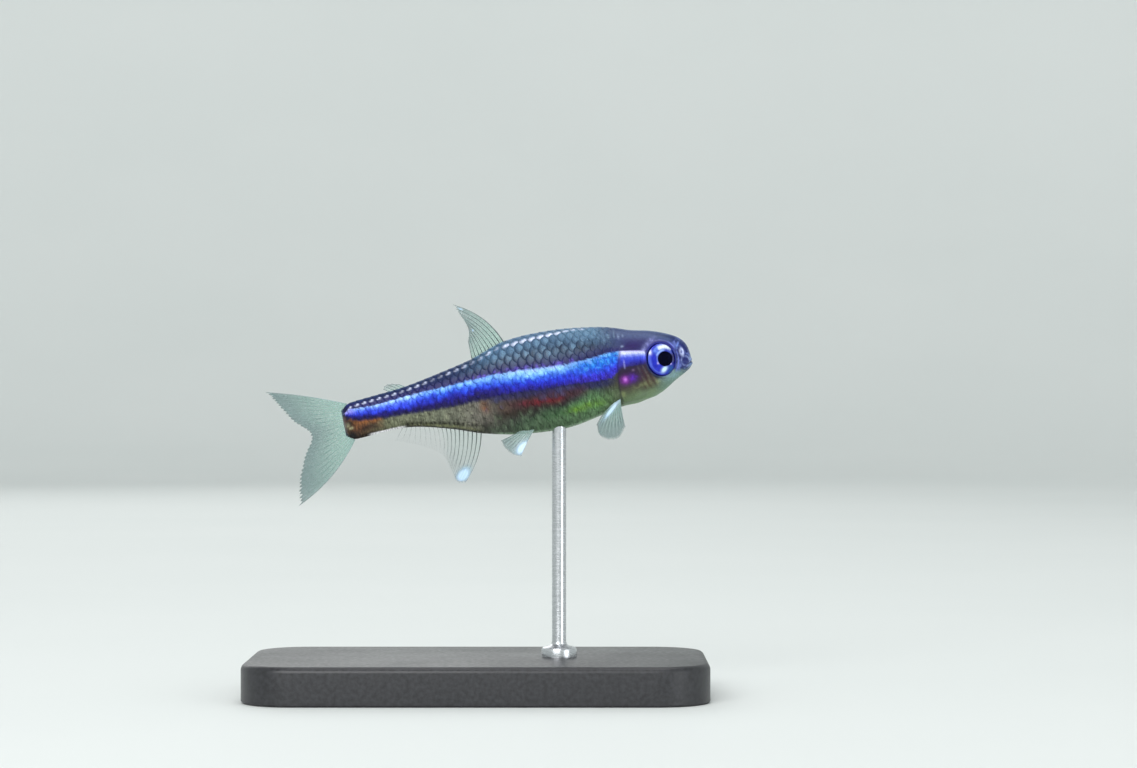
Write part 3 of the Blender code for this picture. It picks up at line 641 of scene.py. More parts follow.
def tube_faces(points, rings, columns):
    """The faces of a closed tube through rings of points, with a flat cap on each end."""
    quads = outward(points, grid_faces(rings, columns, wrap=True))
    last = (rings - 1) * columns
    caps = [list(range(columns)), list(range(last, last + columns))]
    caps[0 if quads[0][0] < quads[0][1] else 1].reverse()
    return quads.tolist() + caps


def plate_faces(rows, columns):
    """The faces of a thin plate: a grid of points, the same grid again for its back, and the wall between."""
    quads, count = grid_faces(rows, columns), rows * columns
    rim = np.concatenate((
        np.arange(columns), np.arange(1, rows) * columns + columns - 1,
        np.arange(columns - 2, -1, -1) + (rows - 1) * columns, np.arange(rows - 2, 0, -1) * columns,
    ))
    after = np.roll(rim, -1)
    wall = np.stack((after, rim, rim + count, after + count), -1)
    return np.concatenate((quads, quads[:, ::-1] + count, wall))


class Nodes:
    """A material's node tree, built call by call."""

    def __init__(self, name):
        self.material = bpy.data.materials.new(name)
        self.material.use_nodes = True
        self.tree = self.material.node_tree
        self.shader = self.tree.nodes["Principled BSDF"]

    def plug(self, socket, value):
        if isinstance(value, bpy.types.NodeSocket):
            self.tree.links.new(value, socket)
        else:
            socket.default_value = value

    def add(self, kind, settings=None, **inputs):
        node = self.tree.nodes.new(kind)
        for key, value in (settings or {}).items():
            setattr(node, key, value)
        for key, value in inputs.items():
            self.plug(node.inputs[key.replace("_", " ")], value)
        return node

    def attribute(self, name, output="Fac"):
        return self.add("ShaderNodeAttribute", {"attribute_name": name}).outputs[output]

    def place(self):
        """Object coordinates, in metres."""
        return self.add("ShaderNodeTexCoord").outputs["Object"]

    def noise(self, size, detail=2.0, vector=None):
        """Noise from 0 to 1 with lumps of about size metres."""
        node = self.add("ShaderNodeTexNoise", Vector=vector or self.place(), Scale=1 / size, Detail=detail)
        return node.outputs["Fac"]

    def math(self, operation, a, b):
        node = self.add("ShaderNodeMath", {"operation": operation})
        self.plug(node.inputs[0], a)
        self.plug(node.inputs[1], b)
        return node.outputs[0]

    def times(self, a, b):
        return self.math("MULTIPLY", a, b)

    def toned(self, colour, tone):
        """The colour, times a grey tone."""
        grey = self.add("ShaderNodeCombineColor", Red=tone, Green=tone, Blue=tone).outputs[0]
        return self.mix(colour, grey, 1.0, "MULTIPLY")

    def remap(self, value, low, high, to_low, to_high):
        node = self.add("ShaderNodeMapRange", Value=value)
        for key, number in zip(("From Min", "From Max", "To Min", "To Max"), (low, high, to_low, to_high)):
            node.inputs[key].default_value = number
        return node.outputs["Result"]

    def mix(self, a, b, share, kind="MIX"):
        node = self.add("ShaderNodeMix", {"data_type": "RGBA", "blend_type": kind})
        self.plug(node.inputs["Factor"], share)
        for socket, value in ((node.inputs[6], a), (node.inputs[7], b)):
            self.plug(socket, value if isinstance(value, bpy.types.NodeSocket) else (*value, 1.0))
        return node.outputs[2]

    def bump(self, height, distance, strength):
        node = self.add("ShaderNodeBump", Height=height, Distance=distance, Strength=strength)
        return node.outputs["Normal"]

    def finish(self, **inputs):
        for key, value in inputs.items():
            self.plug(self.shader.inputs[key.replace("_", " ")], value)
        return self.material


def flesh_material(name, grain_size, gloss, coat):
    """Wet skin: the markings, broken by fine grain and dark pigment cells, under a clear film."""
    n = Nodes(name)
    colour = n.attribute("markings", "Color")
    grain = n.noise(grain_size * MM, 3.0)
    tone = n.remap(grain, 0.3, 0.7, 0.8, 1.2)
    lie = n.add("ShaderNodeMapping", {"vector_type": "TEXTURE"}, Vector=n.place())
    lie.inputs["Rotation"].default_value = (0, -PITCH, 0)
    lie.inputs["Scale"].default_value = (0.05 * MM, 0.3 * MM, 0.34 * MM)
    streaks = n.math("SUBTRACT", n.noise(1.0, 3.0, lie.outputs[0]), 0.5)
    tone = n.math("ADD", tone, n.times(streaks, n.attribute("streaks")))
    colour = n.toned(colour, tone)
    cells = n.add("ShaderNodeTexVoronoi", Vector=n.place(), Scale=1 / (0.09 * MM))
    specks = n.remap(cells.outputs["Distance"], 0.12, 0.3, 1.0, 0.0)
    colour = n.mix(colour, tint(22, 20, 34), n.times(specks, n.attribute("specks")))
    shine = n.attribute("shine")
    rough = n.remap(n.noise(0.16 * MM), 0.3, 0.7, gloss, gloss + 0.16)
    rough = n.math("SUBTRACT", rough, n.times(shine, 0.1))
    normal = n.bump(grain, 0.012 * MM, 0.5)
    return n.finish(
        Base_Color=colour, Roughness=rough, Metallic=n.times(shine, 0.25), Normal=normal,
        Coat_Weight=coat, Coat_Roughness=0.12, Specular_IOR_Level=0.2,
    )


SKIN_MATERIAL = flesh_material("fish_skin", 0.06, 0.34, 0.1)
SCALE_MATERIAL = flesh_material("fish_scales", 0.045, 0.34, 0.08)

UV_LENGTH = 21.0


def unwrapped(s, share):
    """The skin's own unwrap: s along it, and the share of the girth from the belly round to the belly."""
    return np.stack((0.01 + 0.96 * s / UV_LENGTH, 0.5 + 0.48 * share), -1)


# The skin

PREOPERCLE = ((-1.6, -1.35, -0.9, 0.0, 0.9), (3.6, 2.75, 2.3, 2.5, 2.85))
OPERCLE = ((-1.45, -1.1, -0.1, 0.9), (3.9, 3.35, 3.05, 3.15))


def relief(s, h):
    """How far the head's own forms stand out of the plain body, in mm."""
    gill = gill_distance(s, h)
    tall = step(-1.85, -1.6, h) * step(1.35, 1.1, h)
    plates = sum(0.045 * step(-0.16, 0.16, s - np.interp(h, *curve)) for curve in (PREOPERCLE, OPERCLE))
    height = plates * tall * step(0.02, -0.02, gill) * (0.45 + 0.55 * step(0.6, 0.0, h))
    height = height - 0.035 * ring(gill, 0.06, 0.07) * tall
    orbit = orbit_distance(s, h)
    height = height + 0.035 * ring(orbit, 1.0, 0.07)
    height = height - 0.015 * ring(orbit, 1.17, 0.07)
    nose = np.hypot((s - NOSTRIL_AT[0]) / 0.72, (h - NOSTRIL_AT[1]) / 1.15)
    height = height + 0.03 * ring(nose, 0.13, 0.05) - 0.07 * step(0.08, 0.04, nose)
    second = np.hypot((s - 0.72) / 0.6, h - 0.66)
    height = height - 0.04 * step(0.12, 0.05, second)
    mouth = mouth_level(s)
    height = height - 0.04 * ring(h, mouth, 0.02) * step(0.6, 0.45, s)
    lips = 0.03 * ring(h, mouth + 0.11, 0.08) + 0.05 * ring(h, mouth - 0.11, 0.08)
    height = height + lips * step(0.6, 0.3, s)
    strands = np.sin((h + 1.75) * math.tau / 0.22) * band(h, -2.1, -1.6, 0.08) * band(s, 2.0, 3.9, 0.3)
    return height + 0.012 * strands


def skin_points(s, angle):
    """Points of the skin, with the head's relief and the eyes' sockets."""
    depth = -(HEAD_DEPTH + (COAT_DEPTH - HEAD_DEPTH) * step(3.4, 4.6, s))
    base = surface(s, angle, depth)
    h = base[..., 2]
    points = base + normals(s, angle, depth) * relief(s, h)[..., None]
    side = np.where(np.sin(angle) >= 0, 1.0, -1.0)
    orbit = orbit_distance(s, h)
    inner = EYE_SUNK_SIDE - 0.3
    off = (points[..., 1] - bend(s)) * side
    sunk = np.minimum(off, inner)
    off = off + (sunk - off) * step(0.925, 0.885, orbit)
    points[..., 1] = bend(s) + off * side
    return points, h, side


def make_skin():
    head = np.linspace(math.sqrt(0.003), math.sqrt(HEAD_END), HEAD_RINGS) ** 2
    body = np.linspace(HEAD_END, SKIN_END, BODY_RINGS + 1)[1:]
    rings = np.concatenate((head, body))
    shares = np.linspace(-1.0, 1.0, SKIN_COLUMNS, endpoint=False)
    s, share = np.meshgrid(rings, shares, indexing="ij")
    points, h, side = skin_points(s, angle_at(s, share))
    s, h, side, flat = s.ravel(), h.ravel(), side.ravel(), world(points).reshape(-1, 3)
    colour, stripe = markings(s, h, side)
    faces = tube_faces(flat, len(rings), SKIN_COLUMNS)
    corners = np.array([index for face in faces for index in face])
    column = (corners % SKIN_COLUMNS).astype(float)
    side_corners = 4 * (len(faces) - 2)
    quads = column[:side_corners].reshape(-1, 4)
    crossing = (quads.max(1) - quads.min(1)) > SKIN_COLUMNS / 2
    quads[crossing] = np.where(quads[crossing] == 0, SKIN_COLUMNS, quads[crossing])
    column[:side_corners] = quads.ravel()
    uv = unwrapped(s[corners], -1 + 2 * column / SKIN_COLUMNS)
    top, bottom, _, _ = section(s)
    specks = 0.35 * step(0.1, 0.5, s) * np.clip((h - bottom) / (top - bottom) + 0.25, 0, 1)
    numbers = {"shine": stripe * 0.8, "specks": specks * (1 - stripe), "streaks": streak_share(s, h)}
    skin = add_piece("skin", flat, faces, SKIN_MATERIAL, colour, numbers, uv)
    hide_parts("head", "torso", "tail")
    return skin


# The scales

def size_at(s):
    """How large the scales are at s, as a share of those at the middle of the flank."""
    return np.interp(s, (3.5, 5.5, 8.0, 11.0, 20.0), (0.68, 0.8, 1.0, 1.0, 0.62))


def scale_spacing(size):
    return 0.5 * (0.6 + 0.4 * size)


def scale_places():
    """(s, arc down from the back, row, index) of each scale on one flank, in staggered rows."""
    places = []
    for row in range(SCALE_LINES):
        s, index = FIRST_SCALE_S - (0.25 if row % 2 else 0.0), 0
        while s < LAST_SCALE_S:
            size = float(size_at(s))
            arc = 0.0 if row == 0 else (ROW_FIRST + (row - 1) * ROW_SPACING) * size
            half_girth = float(girth(s))
            if arc < half_girth - 0.1 * size:
                places.append((s, arc, row, index))
            s += scale_spacing(size)
            index += 1
    s, index = FIRST_SCALE_S, 0
    while s < LAST_SCALE_S:
        places.append((s, float(girth(s)), 1, index))
        s += scale_spacing(float(size_at(s)))
        index += 1
    return places


def chance_of(index, row, side):
    """A number from 0 to 1, fixed by a scale's place."""
    value = math.sin(index * 12.9898 + row * 78.233 + side * 3.7) * 43758.5453
    return value - math.floor(value)


def paint_glint(colour, stripe, s0, chance, along, across):
    """The painted highlight on a scale of the row along the back: a bright glint, wide in front and short
    behind.
    """
    fore = float(band(np.array(s0), 6.2, 9.6, 0.5))
    bright = (0.85 + 0.4 * chance) * fore + (0.35 + 0.8 * chance) * (1 - fore)
    wide, low_end = 0.38 * fore + 0.2 * (1 - fore), 0.46 * fore + 0.62 * (1 - fore)
    tilt = across + 0.25 - 0.4 * fore - 0.5 * (along - 0.7)
    glint = band(along, low_end, 0.86, 0.06) * step(wide, 0.3 * wide, np.abs(tilt))
    paint(colour, ((222, 228, 255), glint * bright))
    return np.maximum(stripe, glint * 0.4)


def make_scales(name, side):
    """One flank's scales: thin plates, rooted in the skin, each lying over the roots of those behind."""
    rows, columns = np.linspace(0, 1, SCALE_ROWS), np.linspace(-1, 1, SCALE_COLUMNS)
    along, across = np.meshgrid(rows, columns, indexing="ij")
    round_edge = np.sqrt(np.maximum(1 - across**2, 0.0))
    start = 0.22 * across**2
    reach = start + (0.52 + 0.48 * round_edge - start) * along
    points, colours, stripes, uvs, specks, streaks = [], [], [], [], [], []
    edge = step(0.72, 1.0, along) * (0.6 + 0.4 * round_edge)
    centre = band(along, 0.5, 0.78, 0.12) * step(0.85, 0.2, np.abs(across))
    for s0, arc, row, index in scale_places():
        size = float(size_at(s0))
        length, tall = SCALE_LENGTH * (0.6 + 0.4 * size), (0.56 if row == 0 else 0.45) * size
        s = s0 + reach * length
        arc_at = arc + across * tall
        share = arc_at / girth(s)
        middle_s = np.array(s0 + 0.7 * length)
        middle_angle = angle_at(middle_s, np.array(arc / float(girth(middle_s))))
        middle_h = float(surface(middle_s, middle_angle)[..., 2])
        bare = gill_distance(s0 + 0.62 * length, middle_h) < 0
        if middle_h >= NAPE_LEVEL:
            bare = s0 + 0.5 * length < 3.75
        if bare or float(s.max()) > 20.05:
            continue
        angle = angle_at(s, share * side)
        chance = chance_of(index, row, side)
        stripe_top = float(stripe_edges(middle_s)[0])
        soft = 0.66 * float(step(stripe_top + 0.1, stripe_top - 0.2, np.array(middle_h)))
        soft = max(soft, 0.35 * float(step(5.6, 4.2, np.array(s0))))
        raised = 0.036 * reach + 0.006 * (1 - across**2) + 0.006 * (chance - 0.5) * along
        lift = -0.016 + 0.018 * soft + (1 - soft) * raised
        skin = surface(s, angle, -COAT_DEPTH)
        n = normals(s, angle, -COAT_DEPTH)
        upper = skin + n * lift[..., None]
        lower = skin + n * (lift - SCALE_THICKNESS * (1 - 0.5 * along))[..., None]
        h = skin[..., 2]
        colour, stripe = markings(s, h, np.full_like(s, float(side)), np.full_like(s, middle_h))
        stripe_top = stripe_edges(s)[0]
        on_back = step(-0.02, 0.25, h - stripe_top)
        rearward = step(11.0, 14.0, s)
        net = 0.26 * on_back * (0.5 + 0.8 * chance) * (1 - 0.8 * stripe)
        colour = colour * (0.95 + 0.1 * chance)
        nape = 0.2 + 0.8 * float(step(4.2, 6.2, np.array(s0)))
        hearts = on_back * centre * (0.15 + 0.85 * step(0.3, 0.9, h - stripe_top)) * (1 - stripe)
        paint(
            colour,
            ((116, 150, 178), hearts * (0.66 - 0.5 * rearward) * chance * nape),
            ((22, 28, 50), edge * net * nape),
        )
        # Painted highlights: a bright glint on each scale of the row along the back.
        if row == 1 and s0 > 5.0 and middle_h > 0:
            stripe = paint_glint(colour, stripe, s0, chance, along, across)
        points.append(np.concatenate((upper.reshape(-1, 3), lower.reshape(-1, 3))))
        colours.append(np.tile(colour.reshape(-1, 3), (2, 1)))
        stripes.append(np.tile(stripe.ravel(), 2))
        specks.append(np.tile(((0.35 * on_back + 0.25) * (1 - stripe)).ravel(), 2))
        streaks.append(np.tile(streak_share(s, h).ravel(), 2))
        root = unwrapped(np.array(s0), np.array(arc / float(girth(s0)) * side))
        local = np.stack((along - 0.5, across / 2), -1).reshape(-1, 2) * PATCH_SIZE
        uvs.append(np.tile(root + local, (2, 1)))
    plate = outward(world(points[0]), plate_faces(SCALE_ROWS, SCALE_COLUMNS))
    offsets = np.arange(len(points)) * 2 * along.size
    faces = (plate[None] + offsets[:, None, None]).reshape(-1, 4)
    uv = np.concatenate(uvs)[faces.ravel()]
    lists = {"shine": stripes, "specks": specks, "streaks": streaks}
    numbers = {key: np.concatenate(values) for key, values in lists.items()}
    return add_piece(
        name, world(np.concatenate(points)), faces.tolist(), SCALE_MATERIAL,
        np.concatenate(colours), numbers, uv,
    )


# Eyes

def lathe(profile, segments):
    """(points, quads, radius, turn) of a profile of (radius, height) turned about z; turn 0 is forwards."""
    turns = np.arange(segments) * math.tau / segments
    radius = np.array([r for r, _ in profile])[:, None] + 0 * turns[None]
    height = np.array([z for _, z in profile])[:, None] + 0 * turns[None]
    turn = turns[None] + 0 * radius
    points = np.stack((radius * np.cos(turn), radius * np.sin(turn), height), -1).reshape(-1, 3)
    return points, grid_faces(len(profile), segments, wrap=True), radius.ravel(), turn.ravel()


def eye_place(points, side):
    """Puts an eye's own (forward, up, out) points in its socket."""
    out = np.array((math.sin(EYE_TURN), side * math.cos(EYE_TURN), 0.0))
    ahead = np.array((math.cos(EYE_TURN), -side * math.sin(EYE_TURN), 0.0))
    middle = np.array((-EYE_AT[0], side * EYE_SUNK_SIDE + float(bend(np.array(EYE_AT[0]))), EYE_AT[1]))
    return world(middle + points[:, :1] * ahead + points[:, 1:2] * (0, 0, 1) + points[:, 2:] * out)


def add_eye_piece(name, points, quads, side, material, colour=None):
    flat = eye_place(points, side)
    return add_piece(name, flat, outward(flat, quads).tolist(), material, colour)


def iris_colour(x, y, radius, side):
    """The iris at x forwards and y up of the pupil's middle, and at a radius from the eye's own middle."""
    r, turn = np.hypot(x, y), np.degrees(np.arctan2(y, x))
    around = np.mod(turn, 360.0)
    z = np.full_like(x, side * 2.0)
    fine, coarse = noise(x, y, z, (0.05, 0.05), 11), noise(x, y, z, (0.2, 0.16), 12)
    colour = two_tone((12, 20, 140), (26, 44, 206), 0.15 + 0.8 * coarse)
    beads = 0.5 + 0.5 * np.cos(np.radians(turn) * 29.0)
    arc = ring(r, 0.7, 0.115) * band(turn, 44.0, 114.0, 6.0)
    # Slanting axes of the painted glint below the pupil.
    along, beside = 0.8 * (x + 0.15) + 0.6 * (y + 0.58), 0.8 * (y + 0.58) - 0.6 * (x + 0.15)
    paint(
        colour,
        ((10, 10, 84), step(60.0, 22.0, np.abs(turn)) * 0.95),
        ((60, 80, 182), band(turn, 24.0, 60.0, 12.0) * band(r, 0.44, 0.6, 0.06) * 0.8),
        ((88, 124, 224), band(turn, 92.0, 142.0, 12.0) * band(r, 0.44, 0.84, 0.07) * (0.4 + 0.6 * fine)),
        ((42, 66, 124), band(turn, 58.0, 116.0, 8.0) * ring(r, 0.585, 0.05) * (0.4 + 0.8 * coarse)),
        ((80, 104, 216), step(-0.72, -0.86, x) * band(y, -0.3, 0.4, 0.15) * 0.7),
        ((80, 108, 212), ring(radius, 0.78, 0.035) * band(around, 178.0, 262.0, 14.0) * 0.7),
        ((24, 84, 150), spot(x, y, (0.24, -0.57), (0.17, 0.14)) * 0.9),
        ((24, 98, 106), spot(x, y, (0.3, -0.8), (0.24, 0.12)) * 0.9),
        ((150, 172, 240), arc * 1.3),
        ((240, 247, 255), arc**1.3 * (0.85 + 0.35 * beads + 0.9 * (fine - 0.45))),
        ((118, 148, 236), ring(r, 0.74, 0.09) * band(turn, 112.0, 134.0, 8.0) * (0.3 + 0.7 * fine)),
        ((206, 212, 255), spot(x, y, (-0.78, 0.52), (0.09, 0.14)) * 1.3),
        ((160, 190, 244), ring(r, 0.5, 0.05) * band(around, 84.0, 150.0, 12.0) * (0.5 + 0.6 * fine)),
        ((116, 136, 222), ring(r, 0.46, 0.035) * band(around, 150.0, 212.0, 12.0) * 0.7),
        # Painted reflections of the lights: small glints low behind and ahead of the pupil, and a bright
        # slanting one below it.
        ((180, 172, 226), spot(x, y, (-0.45, -0.17), (0.05, 0.06))),
        ((206, 234, 255), spot(along, beside, (0.0, 0.0), (0.18, 0.105)) * 1.7),
        ((190, 176, 240), spot(x, y, (0.27, -0.34), (0.05, 0.05)) * 1.1),
        ((24, 28, 120), step(0.85, 0.9, radius) * 0.45),
    )
    return colour


def eye_material():
    n = Nodes("iris")
    colour = n.attribute("markings", "Color")
    grain = n.noise(0.035 * MM, 3.0)
    tone = n.remap(grain, 0.3, 0.7, 0.9, 1.1)
    colour = n.toned(colour, tone)
    rough, normal = n.remap(grain, 0.3, 0.7, 0.25, 0.4), n.bump(grain, 0.01 * MM, 0.6)
    return n.finish(
        Base_Color=colour, Roughness=rough, Metallic=0.1, Specular_IOR_Level=0.25, Normal=normal,
        Coat_Weight=0.3, Coat_Roughness=0.05,
    )


def pupil_material():
    n = Nodes("pupil")
    depth = n.noise(0.12 * MM)
    colour = n.mix(tint(2, 3, 8), tint(8, 10, 40), depth)
    rough = n.remap(depth, 0.3, 0.7, 0.35, 0.45)
    return n.finish(Base_Color=colour, Roughness=rough, Specular_IOR_Level=0.02)


def cornea_material():
    """A clear wet film: it mirrors the lights, most at its edge, and lets the iris show through."""
    n = Nodes("cornea")
    film = n.noise(0.4 * MM)
    glance = n.add("ShaderNodeLayerWeight", Blend=0.25).outputs["Fresnel"]
    alpha = n.times(n.remap(glance, 0.06, 1.0, 0.0, 0.4), n.remap(film, 0.3, 0.7, 0.95, 1.05))
    colour = n.mix((0.9, 0.95, 1.0), (1.0, 1.0, 1.0), film)
    return n.finish(Base_Color=colour, Metallic=1.0, Roughness=0.04, Alpha=alpha)


def make_eyes():
    iris_look, pupil_look, cornea_look = eye_material(), pupil_material(), cornea_material()
    round_bowl, front_radii = np.radians((2, 20, 40, 60, 78, 90)), np.linspace(0.892, 0.42, 32)
    bowl = [(EYEBALL_RADIUS * math.sin(a), 0.11 - 0.38 * math.cos(a)) for a in round_bowl]
    front = [(r, 0.12 + 0.12 * math.sqrt(1 - (r / EYEBALL_RADIUS) ** 2)) for r in front_radii]
    well = [(0.4, 0.15), (0.01, 0.15)]
    round_lens, round_dome = np.radians(np.linspace(-60, 89.9, 18)), np.radians(np.linspace(0, 89.9, 24))
    lens = [(PUPIL_RADIUS * math.cos(a), 0.19 + 0.1 * math.sin(a)) for a in round_lens]
    dome = [(CORNEA_RADIUS * math.cos(a), 0.1 + 0.32 * math.sin(a)) for a in round_dome]
    for name, side in (("right", -1), ("left", 1)):
        points, quads, radius, _ = lathe(bowl + front + well, 160)
        points[:, 0] *= 1 - (1 - EYE_NARROW) * step(0.5, 0.88, radius)
        points[:, 0] += PUPIL_AHEAD * step(0.86, 0.45, radius) * (points[:, 2] > 0)
        colour = iris_colour(points[:, 0] - PUPIL_AHEAD, points[:, 1], radius, side)
        ball = add_eye_piece("eyeball_" + name, points, quads, side, iris_look, colour)
        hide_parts("eye_" + name)
        points, quads, _, _ = lathe(lens, 64)
        points[:, 0] += PUPIL_AHEAD
        add_eye_piece("pupil_" + name, points, quads, side, pupil_look)
        points, quads, _, _ = lathe([(0.02, 0.08), (0.88, 0.08)] + dome, 64)
        points[:, 0] *= EYE_NARROW
        add_eye_piece("cornea_" + name, points, quads, side, cornea_look)


# Fins

def spline(points, share):
    """Points on a smooth curve through points, at shares of the way."""
    points = np.array(points)
    spans = len(points) - 1
    padded = np.concatenate((2 * points[:1] - points[1:2], points, 2 * points[-1:] - points[-2:-1]))
    i = np.minimum((share * spans).astype(int), spans - 1)
    t = (share * spans - i)[..., None]
    a, b, c, d = (padded[i + k] for k in range(4))
    return (2 * b + (c - a) * t + (2 * a - 5 * b + 4 * c - d) * t**2 + (3 * b - a - 3 * c + d) * t**3) / 2


class Fin:
    """A fin's rays run from its root line to its margin; side and splay place a paired fin."""

    def __init__(self, name, root, margin, rays, bow, body, dark, forks=1, side=0, root_y=0.0, splay=0.0,
                 stiff=2, pale=(), sunk=0.08, fades=False):
        self.name, self.root, self.margin, self.rays, self.bow = name, root, margin, rays, bow
        self.forks, self.side, self.root_y, self.splay, self.stiff = forks, side, root_y, splay, stiff
        self.pale, self.sunk, self.body, self.dark, self.fades = pale, sunk, body, dark, fades

    def flat(self, across, out):
        """(s, h) at a share of the way across the rays and out along them."""
        start, end = spline(self.root, across), spline(self.margin, across)
        chord = end - start
        bow = (self.bow[0] + (self.bow[1] - self.bow[0]) * across)[..., None]
        middle = (start + end) / 2 + np.stack((-chord[..., 1], chord[..., 0]), -1) * bow
        out = out[..., None]
        return start * (1 - out) ** 2 + middle * 2 * out * (1 - out) + end * out**2

    def point(self, across, out, lift=0.0):
        """Points of the fin, lifted off its middle sheet."""
        flat = self.flat(np.clip(across, 0, 1), out)
        s, h = flat[..., 0], flat[..., 1]
        wave = 0.05 * np.maximum(out, 0.0) ** 1.5 * np.sin(across * math.tau * 1.6 + 0.7)
        if not self.side:
            return np.stack((-s, bend(s) + lift + wave, h), -1)
        drop = np.maximum(self.root[0][1] - h, 0.0)
        level = math.tan(self.splay) * drop + self.root_y + math.cos(self.splay) * lift + wave * 0.6
        return np.stack((-s, self.side * level + bend(s), h + math.sin(self.splay) * lift), -1)

    def pale_share(self, across, out):
        """1 in the fin's pale patches, slanting ovals of (s, h), (half length, half width) and slant."""
        flat = self.flat(np.clip(across, 0, 1), out)
        total = 0 * across
        for at, size, slant in self.pale:
            s, h = flat[..., 0] - at[0], flat[..., 1] - at[1]
            turn = math.radians(slant)
            along = s * math.cos(turn) - h * math.sin(turn)
            beside = h * math.cos(turn) + s * math.sin(turn)
            total = total + spot(along, beside, (0.0, 0.0), size)
        return np.clip(total * 1.5, 0, 1)

    def seen_share(self, across):
        """How well the fin shows: a fin that fades grows clear towards its last rays."""
        return 0.85 - 0.7 * step(0.3, 0.6, across) if self.fades else 1 + 0 * across


def edge_line(start, end, edge, inside):
    """Points along the back (edge 1) or the belly (edge -1), a little inside the body."""
    s = np.linspace(start, end, 7)
    top, bottom, _, _ = section(s, -inside)
    return tuple(zip(s.tolist(), (top if edge > 0 else bottom).tolist()))


def all_fins():
    fins = [
        Fin(
            "dorsal_fin", edge_line(10.25, 12.2, 1, 0.12),
            ((12.65, 5.58), (12.42, 4.99), (12.18, 4.46), (12.08, 3.97), (12.22, 3.4)),
            rays=10, bow=(0.2, 0.0), body=0.36, dark=0.95,
            pale=(((12.3, 5.28), (0.1, 0.045), -35.0), ((11.85, 3.95), (0.05, 0.05), 0.0)),
        ),
        Fin(
            "adipose_fin", edge_line(16.25, 17.0, 1, 0.1),
            ((16.75, 1.8), (17.05, 1.88), (17.38, 1.84), (17.5, 1.66)),
            rays=5, bow=(0.15, -0.1), body=0.22, dark=0.4, forks=0, stiff=9,
        ),
        Fin(
            "anal_fin", edge_line(12.5, 16.8, -1, 0.12),
            ((13.98, -4.46), (14.42, -4.28), (14.62, -3.5), (14.86, -2.75), (15.5, -2.2), (16.4, -1.75),
             (17.4, -1.35)),
            rays=19, bow=(-0.16, -0.05), body=0.1, dark=0.95, stiff=3,
            pale=(((13.98, -4.0), (0.5, 0.3), 40.0),), fades=True,
        ),
        Fin(
            "tail_fin", ((19.72, 1.24), (19.78, 0.85), (19.8, 0.2), (19.76, -0.45), (19.66, -0.84)),
            ((24.19, 2.8), (23.65, 1.95), (22.95, 0.85), (22.1, -0.1), (22.75, -1.3), (23.35, -2.7),
             (23.58, -3.93)),
            rays=19, bow=(0.04, -0.13), body=0.42, dark=0.3, forks=2, stiff=1, sunk=0.0,
        ),
    ]
    for name, side in (("right", -1), ("left", 1)):
        fins.append(Fin(
            "pectoral_fin_" + name, ((4.72, -1.62), (4.42, -1.5)),
            ((6.0, -2.7), (5.95, -3.3), (5.5, -3.62), (4.9, -3.6), (4.45, -3.1)),
            rays=10, bow=(0.12, 0.06), body=0.2, dark=0.3, side=side, root_y=0.75, splay=math.radians(32),
            stiff=1, pale=(((5.02, -2.0), (0.6, 0.1), 40.0),), sunk=0.0,
        ))
        fins.append(Fin(
            "pelvic_fin_" + name, ((9.45, -2.15), (9.95, -2.05)),
            ((10.55, -3.58), (11.0, -3.38), (11.35, -2.95), (11.5, -2.5)),
            rays=8, bow=(0.06, -0.05), body=0.22, dark=0.4, side=side, root_y=0.34, splay=math.radians(16),
            stiff=1, pale=(((10.35, -3.12), (0.45, 0.26), 35.0),), sunk=0.0,
        ))
    return fins


def fin_web(fin):
    """(points, quads, looks) of a fin's thin closed membrane, with a notched margin."""
    columns, rows = fin.rays * 8 + 1, 26
    across, out = np.meshgrid(np.linspace(0, 1, columns), np.linspace(-fin.sunk, 1, rows), indexing="ij")
    phase = across * (fin.rays - 1) * (2 if fin.forks else 1)
    between = np.abs(np.sin(phase * math.pi))
    ragged = noise(across * 40, out * 0, np.zeros_like(out), (1.0, 1.0), 21)
    reach = out * (1 - (0.035 * between**1.5 + 0.03 * ragged) * step(0.5, 1.0, out))
    half = 0.014 - 0.009 * np.clip(out, 0, 1)
    upper = fin.point(across, reach, half).reshape(-1, 3)
    lower = fin.point(across, reach, -half).reshape(-1, 3)
    points = world(np.concatenate((upper, lower)))
    pale = fin.pale_share(across, np.clip(reach, 0, 1)).ravel()
    ray = (1 - between).ravel()
    looks = {
        "ray": ray, "out": np.clip(reach, 0, 1).ravel(), "pale": pale,
        "body": (fin.body * fin.seen_share(across)).ravel(),
    }
    faces = outward(points, plate_faces(columns, rows))
    return points, faces, {key: np.tile(values, 2) for key, values in looks.items()}


def ray_lines(fin):
    """Each ray's pieces as (across, out, radius) arrays: a stem, and the forks that most rays end in."""
    lines = []
    spacing = 1 / (fin.rays - 1)
    for i in range(fin.rays):
        middle = i * spacing
        if i < fin.stiff or not fin.forks or (fin.forks == 2 and i >= fin.rays - fin.stiff):
            out = np.linspace(-fin.sunk, 1.0, 22)
            lines.append((middle + 0 * out, out, np.interp(out, (0, 1), (0.032, 0.012))))
            continue
        first = 0.5 if fin.forks == 1 else 0.42
        out = np.linspace(-fin.sunk, first + 0.02, 14)
        lines.append((middle + 0 * out, out, np.interp(out, (0, first), (0.028, 0.017))))
        for way in (-1, 1):
            second = 0.99 if fin.forks == 1 else 0.72
            out = np.linspace(first, second, 12)
            spread = step(first, second, out) * 0.24 * spacing * way
            lines.append((middle + spread, out, np.interp(out, (first, second), (0.016, 0.009))))
            if fin.forks == 2:
                for turn in (-1, 1):
                    ends = np.linspace(second - 0.01, 0.99, 9)
                    fan = 0.24 * spacing * way + step(second, 1.0, ends) * 0.13 * spacing * turn
                    lines.append((middle + fan, ends, np.interp(ends, (second, 1), (0.01, 0.006))))
    return lines


